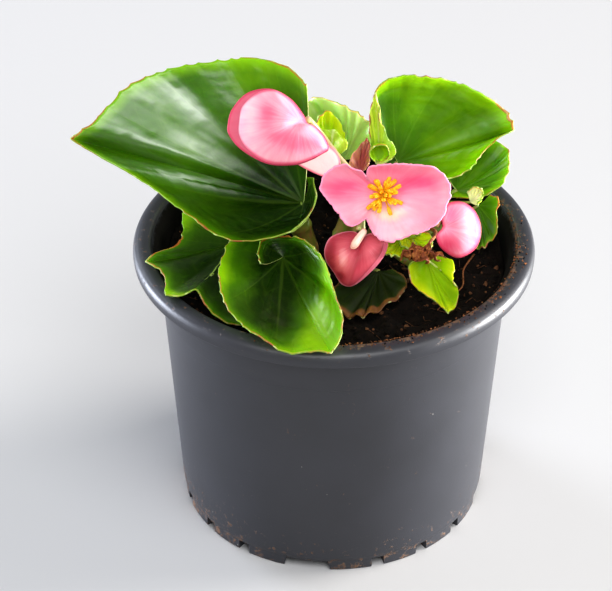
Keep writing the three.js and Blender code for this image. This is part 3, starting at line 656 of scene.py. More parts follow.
# Underside: paler and duller, with the veins standing out
def makeUnderside(name, pale, tinge, places=(0.35, 0.75)):
    material, node = newMaterial(name)
    place = node("TexCoord").outputs["Object"]
    vein, span, rib = (
        node("Attribute", attribute_name=name).outputs["Fac"] for name in ("vein", "span", "rib"))
    toVein = node("Math", node("Math", vein, 0.5, operation="PINGPONG"), span, operation="MULTIPLY")
    mainVein = node("MapRange", toVein, 0.15, 0.9, 1, 0, interpolation_type="SMOOTHSTEP")
    toSide = node("Math", node("Math", toVein, -1.15, rib, operation="MULTIPLY_ADD"), 4, operation="PINGPONG")
    sideVein = node("MapRange", toSide, 0.1, 0.5, 0.45, 0, interpolation_type="SMOOTHSTEP")
    veins = node("Math", mainVein, sideVein, operation="MAXIMUM")
    mottle = node("TexNoise", place, Scale=120, Detail=5, Roughness=0.65)
    tint = node("ValToRGB", mottle, stops=[(places[0], pale), (places[1], tinge)])
    shown = node("Math", veins, 0.5, operation="MULTIPLY")
    net = node("TexVoronoi", place, Scale=520, feature="DISTANCE_TO_EDGE")
    raised = node("Math", net, veins, operation="ADD")
    return dress(material, {
        "Base Color": node("Mix", shown, tint, "#c9d795", data_type="RGBA"), "Roughness": 0.5, "IOR": 1.42,
        "Normal": node("Bump", Height=raised, Strength=0.45, Distance=0.4 * mm),
        **flesh(0.2, (0.6, 1.0, 0.2), 1.2 * mm),
    })


# Stalks and stems: smooth and juicy, pale green flushed with red, with short pale streaks
def makeStalkMaterial(name, pale, flush):
    return makeGrained(name, (420, 4, 0.6), [(0.38, pale), (0.68, flush)], (0.3, 0.2 * mm),
                       {"Roughness": 0.38, "IOR": 1.42, **flesh(0.25, (1.0, 0.8, 0.3), 1.5 * mm)},
                       (1, 1, 0.3))


leafUpper = makeLeafMaterial("waxyLeaf", "#112602", "#3c6401", "#7aa604", "#a4512f", "#86aa36")
leafYoung = makeLeafMaterial("waxyLeafYoung", "#3f6a04", "#7a9c06", "#b0be12", "#c8663c", "#c0cc48")
# pale whitish green, which on the leaf at the back is painted sheen
leafPaleAndSheen = makeLeafMaterial("paleLeafAndPaintedSheen", "#7d9640", "#a5b76a", "#c9d394", "#c8a05c", "#d3dba4")
stipuleSkin = makeLeafMaterial("paperyStipule", "#6a2c2e", "#904a46", "#bc8670", "#7c3434", "#a0645a")
# a leaf in shade under the flower: its near-black green is painted shade, its brown margin is dry and dull
leafDryAndShaded = makeLeafMaterial("dryEdgedLeafPaintedShade", "#0b1402", "#22300a", "#4a4618", "#6b4526", "#4b4a22",
                           0.5, 0.05, 2.6)
leafUnder = makeUnderside("leafUnderside", "#7f9c3a", "#a9bf62")
youngUnder = makeUnderside("leafUndersideYoung", "#86a81e", "#b9cb3c")
leafMargin = makeUnderside("leafMargin", "#728e2c", "#8a4a2c", (0.5, 0.62))
dryMargin = makeUnderside("dryLeafMargin", "#6b4526", "#3a2314")
stalkSkin = makeStalkMaterial("juicyStalk", "#64852a", "#8a6540")
print("leaf materials made")

# Leaves: heart, tip and the two sides of the margin, each from the tip back to the heel, as in the solids. A
# patch is
# painted light and shade: a middle, a reach and how much lighter or darker the green is painted there, darker
# in the shaded funnel of the heart and under other leaves, lighter where a half faces the light. A bloom is a
# middle, a reach and how much waxier it is there.
leaves = {
    "leaf_large_left": {
        "heart": (-9, -5, 106), "tip": (-79, 12, 118), "stalk": [(-8.2, 4, 90), (-11, 4, 92), (-11, -1, 98)],
        "left": [(-69, 7, 114), (-57, 1, 110), (-43, -13, 106), (-30, -22, 104), (-17, -22, 105),
                 (-9, -18, 108), (-5, -11, 112), (-6, -5, 115), (-8, -2, 114)],
        "right": [(-71, 12, 125), (-63, 19, 131), (-51, 22, 136), (-35, 21, 140), (-25, 19, 142),
                  (-14, 14, 142), (-8, 9, 139)],
        "stalkRadius": 2, "grid": (400, 46), "veins": 5, "dish": 0.11, "rightDish": 0.045, "tone": 0.54,
        "patches": [((-22, 20, 140), 14, 0.12), ((-14, -6, 108), 16, -0.5), ((-30, -12, 106), 20, -0.3),
                    ((-70, 6, 116), 9, -0.25)],
        "bloom": 0.15,
        "blooms": [((-60, 14, 126), 15, 0.8), ((-41, 16, 131), 9, 0.65), ((-44, 5, 117), 11, 0.5),
                   ((-30, 4, 116), 8, 0.2)],
    },
    "leaf_right_upper": {
        "heart": (19, 11, 110), "tip": (55, 17, 118), "stalk": [(3.5, -1.5, 96), (4.5, -1, 97), (12, 7, 103)],
        "right": [(49, 14, 116), (44, 11, 112), (42, 8, 110), (35, 5, 108), (27, 5, 108), (19, 3, 108),
                  (13, 3, 111), (11, 8, 114)],
        "left": [(52, 18, 124), (43, 18, 131), (33, 17, 136), (22, 14, 139), (14, 12, 138), (11, 10, 133)],
        "stalkRadius": 1.8, "grid": (320, 36), "veins": 4, "dish": 0.1, "tone": 0.63,
        "patches": [((17, 10, 112), 9, -0.5), ((14, 11, 128), 5, -0.35), ((40, 10, 112), 8, 0.15)],
        # the edge that folds back towards the viewer, and the small curl at its foot
        "flaps": [
            {"heart": (13, 4.5, 113), "tip": (12, 10, 136),
             "left": [(10.5, 9, 130.9), (10.1, 7, 124.6), (10.9, 5.2, 119.5)],
             "right": [(12.6, 8, 131.6), (14, 6, 126.5), (16.4, 4.5, 122.8), (18.6, 3.5, 119.1),
                       (17.4, 3, 116.6)],
             "grid": (80, 12), "veins": 1, "dish": 0.06, "tone": 0.75, "quilt": 0.3, "skin": 4},
            {"heart": (13.4, 2.6, 115.6), "tip": (11.4, 0.6, 122.4),
             "left": [(10.1, 1, 120.6), (9.9, 1.4, 118.4), (11.4, 2, 116)],
             "right": [(14.2, 1, 122.9), (16.2, 1.4, 121.2), (16.8, 2, 118.6), (15.8, 2.5, 116.4)],
             "grid": (60, 12), "veins": 1, "dish": 0.34, "tone": 0.8, "quilt": 0.1, "wave": 0.1, "skin": 0},
        ],
    },
    "leaf_front": {
        "heart": (-15, -17, 95), "tip": (-1, -65, 95), "stalk": [(-8.2, 4, 82), (-8.5, 4, 84), (-12, -7, 87)],
        "left": [(1, -62, 96), (2, -54, 99), (0, -43, 102), (-3, -30, 103), (-8, -19, 103), (-14, -15, 102),
                 (-21, -15, 101), (-23, -21, 100), (-22, -28, 100)],
        "right": [(-9, -65, 94.5), (-17, -62, 94.5), (-25, -55, 96), (-32, -44, 98), (-34, -31, 98),
                  (-32, -13, 98), (-26, -5, 98), (-20, -7, 97)],
        "stalkRadius": 1.8, "grid": (340, 36), "veins": 4, "dish": 0.08, "tone": 0.5,
        "patches": [((-18, -28, 96), 12, -0.5), ((-15, -45, 95.5), 10, -0.75), ((-3, -46, 99.5), 11, 1.2),
                    ((-6, -60, 96), 7, 0.5), ((-32, -30, 98), 7, 0.3), ((-15, -17, 96), 8, -0.5)],
        "blooms": [((-5, -45, 99), 10, 0.6)],
    },
    "leaf_low_left": {
        "heart": (-30, -2, 89.5), "tip": (-56, -18, 94), "stalk": [(-8, 4, 83), (-8, 4, 84.5), (-18, 2, 87)],
        "left": [(-50, -26, 93.5), (-49, -34, 93.5), (-44, -36, 93.5), (-40, -33, 94), (-37, -37, 90),
                 (-32, -40, 87.5), (-26, -40, 86.5), (-21, -34, 86.5), (-19, -22, 87.5), (-22, -10, 88.5)],
        "right": [(-52, -13, 94), (-47, -6, 92.5), (-46, 1, 93), (-46, 8, 94), (-43, 12, 95), (-37, 11, 94),
                  (-31, 7, 92)],
        "stalkRadius": 1.6, "grid": (260, 24), "veins": 3, "dish": 0.04, "tone": 0.3,
        "patches": [((-34, -16, 90), 15, -0.4), ((-48, -36, 93), 5, 0.9), ((-44, 8, 94), 6, 0.5)],
    },
    # the leaf at the back: its pale whitish green is painted sheen
    "leaf_back": {
        "heart": (3, 19, 106), "tip": (4, 25, 122), "stalk": [(3.5, -1.5, 94), (4, -1, 95), (3, 10, 99)],
        "right": [(8, 22, 121), (12, 20, 118), (13, 17, 113), (10, 16, 109)],
        "left": [(-2, 29, 122), (-7, 31, 121), (-10, 29, 118), (-9, 24, 114), (-5, 20, 110)],
        "stalkRadius": 1.4, "grid": (120, 16), "veins": 3, "dish": 0.08, "tone": 0.25,
    },
    "leaf_young_folded": {
        "heart": (-0.5, 13, 110), "tip": (-5, 20, 122),
        "stalk": [(5.2, -1.6, 101), (5, -1, 102), (0.5, 5, 104)],
        "left": [(-5, 16, 120), (0, 15, 120), (4, 11, 118), (4, 11, 115)],
        "right": [(-2, 22, 122), (1, 21, 120), (4, 19, 116), (4, 16, 114)],
        "stalkRadius": 1, "grid": (90, 14), "veins": 2, "dish": 0.1, "tone": 0.6, "slot": "young_leaf",
    },
    "leaf_right_back": {
        "heart": (37, 13, 99), "tip": (54, 20, 105), "stalk": [(17, 4, 98), (18, 4, 99), (28, 9, 95)],
        "right": [(53, 15, 104), (51, 12, 101), (46, 11, 98), (40, 9, 98), (35, 10, 98)],
        "left": [(53, 25, 107), (47, 28, 108), (40, 27, 107), (35, 23, 104), (34, 17, 102)],
        "stalkRadius": 1.4, "grid": (150, 18), "veins": 3, "dish": 0.08, "tone": 0.5,
    },
    "leaf_right_low": {
        "heart": (44, 15, 92), "tip": (45, -5, 89), "stalk": [(12, 4, 85.5), (12.5, 4, 86), (30, 11, 85)],
        "right": [(42, -3, 88), (38, 2, 88), (36, 8, 89), (38, 13, 91)],
        "left": [(49, 2, 90), (50, 10, 92), (51, 16, 94), (48, 19, 94)],
        "stalkRadius": 1.3, "grid": (130, 18), "veins": 3, "dish": 0.05, "tone": 0.4,
    },
    "leaf_young_front": {
        "heart": (27, -17.5, 94.5), "tip": (33, -36, 87),
        "stalk": [(12, 4, 87.5), (12.5, 4, 88), (22, -8, 87)],
        "right": [(29, -31, 88), (23, -26, 90), (21, -21, 94), (25, -20, 96), (28, -21, 96)],
        "left": [(35.5, -32, 88), (36.5, -28, 90), (35, -25, 92), (35.4, -19.5, 95), (31, -17, 96)],
        "stalkRadius": 1.2, "grid": (120, 16), "veins": 2, "dish": 0.08, "tone": 0.52, "slot": "young_leaf",
        "quilt": 0.3, "patches": [((37, -29, 89.5), 3.5, -0.5)],
    },
    # a leaf lying in shade: its dark green is painted shade
    "leaf_shaded_front": {
        "heart": (13, -17, 90), "tip": (8, -36, 86), "stalk": [(2, -0.5, 86.5), (2, 0, 87), (8, -10, 87)],
        "right": [(2, -34, 86), (-2, -26, 87), (1, -19, 88), (7, -15, 89)],
        "left": [(14, -32, 87), (20, -27, 88), (22, -21, 89.5), (18, -16, 90)],
        "stalkRadius": 1.3, "grid": (180, 22), "veins": 3, "dish": 0.05, "tone": 0.15,
        "wave": 1.2, "quilt": 0.4,
    },
    "leaf_back_left": {
        "heart": (-24, 26, 98), "tip": (-42, 50, 104), "stalk": [(-8.6, 4, 89), (-9, 4, 90), (-16, 16, 92)],
        "left": [(-46, 42, 105), (-47, 32, 105), (-41, 22, 104), (-32, 17, 103), (-24, 18, 103)],
        "right": [(-34, 52, 105), (-22, 51, 106), (-12, 43, 106), (-9, 33, 105), (-15, 25, 103)],
        "stalkRadius": 1.7, "grid": (200, 24), "veins": 4, "dish": 0.08, "tone": 0.55,
        "patches": [((-24, 26, 98), 14, -0.4)],
    },
    "leaf_back_right": {
        "heart": (21, 32, 96), "tip": (36, 56, 100), "stalk": [(13.5, 4, 91), (14, 4, 92), (18, 18, 91)],
        "left": [(28, 56, 101), (17, 53, 102), (9, 44, 102), (9, 34, 101), (15, 28, 100)],
        "right": [(43, 50, 101), (48, 40, 102), (45, 31, 102), (36, 26, 101), (27, 26, 100)],
        "stalkRadius": 1.6, "grid": (200, 24), "veins": 4, "dish": 0.08, "tone": 0.55,
        "patches": [((21, 32, 96), 14, -0.4)],
    },
    "leaf_bud_right": {
        "heart": (40, -3, 105), "tip": (44, -1, 109), "stalk": [(18, 4, 99.5), (18.5, 4, 100), (30, 1, 102)],
        "right": [(44.2, -2.8, 107), (42.6, -4.8, 105)], "left": [(41.5, 0.2, 109.2), (39, -0.6, 107.6)],
        "stalkRadius": 0.8, "grid": (60, 10), "veins": 1, "dish": 0.3, "tone": 0.8, "slot": "young_leaf",
    },
    "stipule": {
        "heart": (7.4, 3, 111), "tip": (9.6, 4, 123.4),
        "stalk": [(5.6, -2.5, 102.5), (6, -2, 103), (8.5, 1, 106.5)],
        "right": [(10.7, 4, 120.5), (11, 3.5, 116), (9.5, 3, 113)],
        "left": [(7.6, 4, 121), (4.9, 3.4, 117.6), (4.2, 3, 114), (5.6, 3, 112)],
        "stalkRadius": 0.9, "grid": (60, 12), "veins": 1, "dish": 0.1, "tone": 0.5, "slot": "stipule",
    },
}
blade = {
    "thickness": 0.38, "toothDepth": (0.1, 0.8), "toothEvery": (2, 7), "wave": 0.7, "waves": 4, "inset": 0.2,
    "quilt": 0.5, "ripple": 0.5, "bloom": 0.4, "turnOver": 0.3, "creaseDepth": 0.1, "creaseWidth": 1.4,
}


# Both halves of a blade share the rib to the tip. Beside it, the lean of the ribs turns over smoothly.
def makeBlade(leaf):
    heart = Vector(leaf["heart"])
    margins = {side: [Vector(point) for point in (leaf["tip"], *leaf[half])]
               for side, half in ((1, "left"), (-1, "right"))}
    columns, rings = leaf["grid"]

    def upAt(side, along):
        rib = curvePoint(margins[side], along) - heart
        return rib.cross(curveDirection(margins[side], along)).normalized() * side

    tipUp = (upAt(1, 0) + upAt(-1, 0)).normalized()
    ends = []
    walked = 0
    last = None
    toothStart, toothEnd, toothDeep = 0, 2, 0.5
    for column in range(columns + 1):
        share = column / columns
        side = 1 if share >= 0.5 else -1
        along = abs(share - 0.5) * 2
        point, up = curvePoint(margins[side], along), upAt(side, along)
        if along < blade["turnOver"]:
            up = tipUp.lerp(up, ease(along / blade["turnOver"])).normalized()
        walked += 0 if last is None else (point - last).length
        last = point
        # teeth of uneven length and depth, on shallow scallops
        if walked > toothEnd:
            toothStart, toothEnd = toothEnd, toothEnd + draw.uniform(*blade["toothEvery"])
            toothDeep = draw.uniform(*blade["toothDepth"])
        inTooth = (walked - toothStart) / (toothEnd - toothStart)
        tooth = toothDeep * (4 * inTooth * (1 - inTooth)) ** 0.7 + 0.3 * (1 + fractal((walked, 0, 0), 7, 2))
        wave = leaf.get("wave", blade["wave"]) * math.sin(2 * math.pi * blade["waves"] * along) * (1 - along)
        ends.append((point, up, tooth + blade["inset"], wave, walked, (share - 0.5) * 2 * leaf["veins"]))
    bm = newSheetShape("vein", "span", "rib", "edge", "tone", "bloom")

    # the blade swells between the veins, dips along them, and its margin waves
    def place(across, outward):
        column = round((1 - across) * columns)
        point, up, tooth, wave, _, vein = ends[column]
        *_, nearWalked, nearVein = ends[max(column - 1, 0)]
        *_, farWalked, farVein = ends[min(column + 1, columns)]
        rib = point - heart
        out = outward ** 0.9
        length = rib.length
        span = out * (farWalked - nearWalked) / max(farVein - nearVein, 1e-6)
        toVein = abs((vein + 0.5) % 1 - 0.5) * span
        swell = math.sin(math.pi * vein) ** 2 * min(span / 14, 1) ** 2 * min((1 - out) * length / 6 + 0.25, 1)
        crease = math.exp(-(toVein / blade["creaseWidth"]) ** 2) * min(span / 12, 1) ** 2 * (1 - 0.6 * out)
        lift = leaf.get("quilt", blade["quilt"]) * swell - blade["creaseDepth"] * crease + wave * out
        lift += 0.22 * fractal(point * out, 7, 2) * min(span / 8, 1)
        ripple = fractal((vein * 1.6 + leaf["tip"][0], out * 1.1, 5), 1, 2) * min(span / 8, 1) * out ** 1.5
        lift += blade["ripple"] * ripple
        base = heart + rib * out - rib.normalized() * tooth * out ** 6
        values = {"vein": vein, "span": span, "rib": out * length, "edge": (1 - out) * length,
                  # tone: the leaf's green, with its patches of painted light and shade
                  "tone": spotted(leaf["tone"], base, leaf.get("patches", ())),
                  "bloom": spotted(leaf.get("bloom", blade["bloom"]), base, leaf.get("blooms", ()))}
        overRib = ease(min(max((vein + 1.2) / 2.4, 0), 1))
        dish = leaf["dish"] + (leaf.get("rightDish", leaf["dish"]) - leaf["dish"]) * (1 - overRib)
        return base + up * (lift - 4 * dish * length * out * (1 - out)), values

    addSheet(bm, columns, rings, place)
    return thicken(bm, blade["thickness"])


def makeLeaf(leaf):
    bm = makeBlade(leaf)
    for flap in leaf.get("flaps", ()):
        rolled = makeBlade(flap)
        for face in rolled.faces:
            face.material_index = 2 if face.material_index == 2 else flap["skin"]
        join(bm, rolled)
    radius = leaf["stalkRadius"]
    addTube(bm, [*leaf["stalk"], leaf["heart"]],
            lambda along: radius * (1.12 - 0.55 * along ** 1.5 + 0.12 * math.cos(along * 9)),
            sides=16, material=3)
    return bm


youngSkins = (leafYoung, youngUnder, leafMargin)
slotSkins = {
    "leaf": (leafUpper, leafUnder, leafMargin), "young_leaf": youngSkins, "stipule": (stipuleSkin,) * 3,
}
# the leaf in shade under the flower takes the material with painted shade; the leaf at the back takes the pale
# green that is painted sheen
ownSkins = {
    "leaf_shaded_front": (leafDryAndShaded, leafUnder, dryMargin), "leaf_back": (leafPaleAndSheen, leafUnder, leafMargin),
    "leaf_bud_right": (leafPaleAndSheen, youngUnder, leafMargin),
}
for node, leaf in leaves.items():
    slot = leaf.get("slot", "leaf")
    skins = [*ownSkins.get(node, slotSkins[slot]), stalkSkin]
    if "flaps" in leaf:
        skins.append(youngUnder)
    finishPiece(makeLeaf(leaf), camel(node), skins, [node])
print("leaves grown")


# Stems, a little thicker at each joint, and the branching stalk of the flowers
stems = {
    "stem_middle": {
        "route": [(2, 0, 70), (2, 0, 84), (3, -1, 92), (5, -2, 100), (6, -2, 107)], "radius": 3.2},
    "stem_left": {"route": [(-8, 4, 70), (-8, 4, 84), (-10, 4, 92), (-13, 3, 101)], "radius": 3.2},
    "stem_right": {"route": [(12, 4, 70), (12, 4, 84), (14, 4, 92), (20, 4, 103)], "radius": 3},
}
flowerStalks = [
    ([(6, -2, 108), (6, -2.6, 111.5), (6, -3.6, 114.6)], 1.5),
    ([(6, -3.6, 114.6), (10, -8, 113), (13.6, -11, 112)], 1.2),
    ([(6, -3.6, 114.6), (1, 0, 119), (-4, 3, 125), (-7.4, 1.4, 130.6), (-8, -2, 132.4)], 1),
    ([(6, -3.6, 114.6), (8, -9, 109.5), (8, -13.5, 106), (8, -16, 103.4)], 1),
    ([(6, -3.6, 114.6), (13, -6.5, 109), (24, -12, 106), (30.6, -15.4, 105.3)], 1),
    ([(8, -13, 106.4), (7.4, -16.5, 107), (6.9, -19.6, 106.4)], 0.8),
]
for node, stem in stems.items():
    spans = len(stem["route"]) - 1

    def stemRadius(along):
        toJoint = abs((along * spans + 0.5) % 1 - 0.5) if along > 0.3 else 0.5
        joint = 0.15 * math.exp(-(toJoint / 0.16) ** 2)
        return stem["radius"] * (0.97 + joint) * (1 - 0.35 * max(along - 0.94, 0) / 0.06)

    bm = bmesh.new()
    addTube(bm, stem["route"], stemRadius, sides=24, steps=60)
    finishPiece(bm, camel(node), [stalkSkin], [node])
bm = bmesh.new()
for route, radius in flowerStalks:
    addTube(bm, route, lambda along: radius * (1 - 0.1 * math.sin(along * math.pi)), sides=14)
redStalk = makeStalkMaterial("flowerStalk", "#93a35c", "#b98476")
finishPiece(bm, "flowerStalks", [redStalk], ["flower_stalks"])
print("stems raised")


# Begonia petals: fleshy and velvety, pale pink with deeper flushes and faint streaks from the middle
def makePetalMaterial(name, stops, edgeTint, edgeWidth, streak=0.1):
    material, node = newMaterial(name)
    place = node("TexCoord").outputs["Object"]
    flush, fanX, fanY, rib, edge = (
        node("Attribute", attribute_name=name).outputs["Fac"]
        for name in ("flush", "fanX", "fanY", "rib", "edge"))
    fan = node("Mapping", node("CombineXYZ", fanX, fanY, rib), Scale=(1, 1, 0.014))
    streaks = node("TexNoise", fan, Scale=11, Detail=4, Roughness=0.5)
    spread = node("Math", streaks, streak * 2, -streak, operation="MULTIPLY_ADD")
    cloud = node("Math", node("TexNoise", place, Scale=260, Detail=3), 0.08, -0.04, operation="MULTIPLY_ADD")
    tone = node("Math", flush, node("Math", spread, cloud, operation="ADD"), operation="ADD")
    rim = node("MapRange", edge, edgeWidth, 0.1, 0, 0.8, interpolation_type="SMOOTHSTEP")
    cells = node("TexNoise", place, Scale=1900, Detail=1)
    height = node("Math", cells, 0.35, streaks, operation="MULTIPLY_ADD")
    return dress(material, {
        "Base Color": node("Mix", rim, node("ValToRGB", tone, stops=stops), edgeTint, data_type="RGBA"),
        "Roughness": 0.55, "IOR": 1.36, "Sheen Weight": 0.12, "Sheen Roughness": 0.4,
        "Normal": node("Bump", Height=height, Strength=0.35, Distance=0.3 * mm),
        **flesh(0.3, (1.0, 0.45, 0.5), 1.6 * mm),
    })


# How far the colour is flushed: soft patches of deeper colour, each a middle, a reach and a strength
def flushAt(x, y, item):
    total = item["base"]
    for (middleX, middleY), (reachX, reachY), strength in item["patches"]:
        total += strength * math.exp(-((x - middleX) / reachX) ** 2 - ((y - middleY) / reachY) ** 2)
    return total


# Open flower: a bowl of four tepals, whose margins meet in notches. A point of the margin is across, up
# and towards the viewer, as in the solid. A crease is a direction in degrees with its depth and width.
flower = {
    "at": (14, -13, 114), "lean": 55, "sag": 0.16, "thickness": 0.4, "columns": 320, "rings": 30,
    "margin": [(-5.2, 5.2, 2.8), (-6.6, 7, 4.5), (-9.3, 7.7, 5), (-11.8, 8.9, 5), (-16.8, 6.5, 4),
               (-18.5, 2.4, 2.6), (-17.7, 0.2, 2.6), (-14.8, -3.6, 3.4), (-12.4, -7, 3.6), (-10.3, -9.2, 3.2),
               (-8, -8.9, 2.6), (-5.2, -7.2, 1.6), (-4.5, -8.8, 1.4), (-2.9, -11.3, 1), (-1.2, -13.1, 0.6),
               (2.4, -13.9, 1), (7.1, -12.3, 2.4), (12.7, -10.4, 3.4), (17, -7.2, 4.4), (18.6, -2.8, 5.2),
               (19.6, 0.8, 5.6), (18.9, 3.5, 6), (17.2, 6.2, 5.8), (14.1, 8.1, 5.5), (8.5, 8.8, 6),
               (3.6, 9, 6), (-3.9, 8.3, 5)],
    "creases": [(176, 0.9, 9), (138, 0.4, 6), (226, 0.25, 6), (20, 0.8, 9), (-24, 0.5, 4), (60, 0.3, 8),
                (-62, 0.35, 5)],
    "lip": {"toward": -72, "width": 42, "fold": 0.66, "foldWidth": 0.13, "rise": 1.3},
    "frill": 0.42, "ruffle": 0.22, "base": 0.42,
    "patches": [((-13, 1.6), (6, 2.8), 0.24), ((-9, 3.4), (6, 1.6), 0.16), ((10, 3.8), (5.5, 2.2), 0.4),
                ((2, -5.5), (6.5, 3.2), -0.42), ((5, -12), (8, 2.4), -0.24), ((1, 7.4), (7, 1.5), 0.2),
                ((17.8, 0), (2, 6), -0.12), ((5.2, 1.4), (2.6, 2), 0.2), ((-9, -5), (4, 3), -0.06)],
    "stops": [(0, "#eed4bc"), (0.2, "#e8b0bc"), (0.45, "#e08ca2"), (0.7, "#d96084"), (1, "#ce3666")],
}


def makePetals():
    bm = newSheetShape("flush", "fanX", "fanY", "rib", "edge")
    points = [Vector(point) for point in flower["margin"]]
    lip = flower["lip"]

    def place(across, out):
        share = 1 - across
        end = curvePoint(points, share, closed=True)
        length = end.length
        turn = math.atan2(end.y, end.x)
        lift = -4 * flower["sag"] * length * out * (1 - out)
        for toward, depth, width in flower["creases"]:
            off = (math.degrees(turn) - toward + 180) % 360 - 180
            lift -= depth * math.exp(-(off / width) ** 2) * math.sin(math.pi * min(out * 0.95, 1)) * out
        off = (math.degrees(turn) - lip["toward"] + 180) % 360 - 180
        fold = math.exp(-((out - lip["fold"]) / lip["foldWidth"]) ** 2)
        lift += lip["rise"] * fold * math.exp(-(off / lip["width"]) ** 4)
        lift += 0.3 * fractal(end * out, 5, 2) * out
        lift += flower["ruffle"] * math.sin(share * 80 + 3 * math.sin(share * 23)) * out ** 5
        frill = flower["frill"] * fractal((turn * 9, 0, 0), 1, 3)
        point = end * out + Vector((0, 0, lift)) - end.normalized() * (0.3 + frill) * out ** 4
        return point, {"flush": flushAt(point.x, point.y, flower), "rib": out * length,
                       "fanX": math.cos(turn), "fanY": math.sin(turn), "edge": (1 - out) * length}

    addSheet(bm, flower["columns"], flower["rings"], place)
    return thicken(bm, flower["thickness"])


def leanedAt(item):
    return Matrix.Translation(Vector(item["at"])) @ Matrix.Rotation(math.radians(item["lean"]), 4, "X")


petalSkin = makePetalMaterial("velvetyPetal", flower["stops"], "#e888a6", 0.45)
petalUnder = makePetalMaterial("petalUnderside", [(0, "#fbe2ea"), (1, "#f3a3c0")], "#f6a3c0", 0.5)
petalSkins = [petalSkin, petalUnder, petalSkin]
finishPiece(makePetals(), "flowerPetals", petalSkins, ["flower_petals"], leanedAt(flower))

# Stamens: two-lobed clubs on short filaments, spread by the golden angle round a small core. Ripe anthers
# are opaque golden yellow, powdered with pollen.
stamens = {
    "count": 36, "coreLift": 2.2, "coreRadius": 1.7, "reach": 7.4, "antherLength": 3, "antherWidth": 0.54,
    "filament": 0.24, "spread": 1.2,
}
antherSkin = makeGrained("pollenAnther", (1400, 3, 0.5), [(0.3, "#dc8a00"), (0.6, "#f0b80c")],
                         (0.4, 0.2 * mm), {"Roughness": 0.6, **flesh(0.2, (1.0, 0.6, 0.1), 0.6 * mm)})


def makeStamens():
    bm = bmesh.new()
    length, width = stamens["antherLength"], stamens["antherWidth"]
    core = Vector((0, 0, stamens["coreLift"] - 1.2))
    bmesh.ops.create_uvsphere(bm, u_segments=20, v_segments=12, radius=stamens["coreRadius"],
                              matrix=Matrix.Translation(core))
    for club in range(stamens["count"]):
        share = (club + 0.5) / stamens["count"]
        tilt = math.acos(1 - stamens["spread"] * share)
        heading = club * math.pi * (3 - math.sqrt(5)) + draw.uniform(-0.5, 0.5)
        leaning = math.sin(tilt)
        direction = Vector((leaning * math.cos(heading), leaning * math.sin(heading), math.cos(tilt)))
        reach = stamens["reach"] * draw.uniform(0.72, 1) * (1 - 0.3 * (1 - share))
        start = core + direction * 1.2
        end = Vector((0, 0, stamens["coreLift"])) + direction * (reach - length)
        bent = (start + end) / 2 + Vector((0, 0, 0.15))
        addTube(bm, [start, bent, end], lambda along: stamens["filament"], sides=6, steps=4)
        toEnd = Matrix.Translation(end) @ direction.to_track_quat("Z", "Y").to_matrix().to_4x4()
        for lobe in (-1, 1):
            shape = Matrix.Diagonal((width * 0.72, width * 0.8, length / 2, 1))
            aside = Matrix.Translation((lobe * width * 0.45, 0, length / 2 - 0.2))
            made = bmesh.ops.create_uvsphere(bm, u_segments=8, v_segments=6, radius=1)["verts"]
            for vert in made:
                vert.co.x *= 1 + 0.35 * vert.co.z
                vert.co.y *= 1 + 0.35 * vert.co.z
            bmesh.ops.transform(bm, verts=made, matrix=toEnd @ aside @ shape)
    for face in bm.faces:
        face.smooth = True
    return bm


finishPiece(makeStamens(), "flowerStamens", [antherSkin], ["flower_stamens"], leanedAt(flower))
print("flower opened")


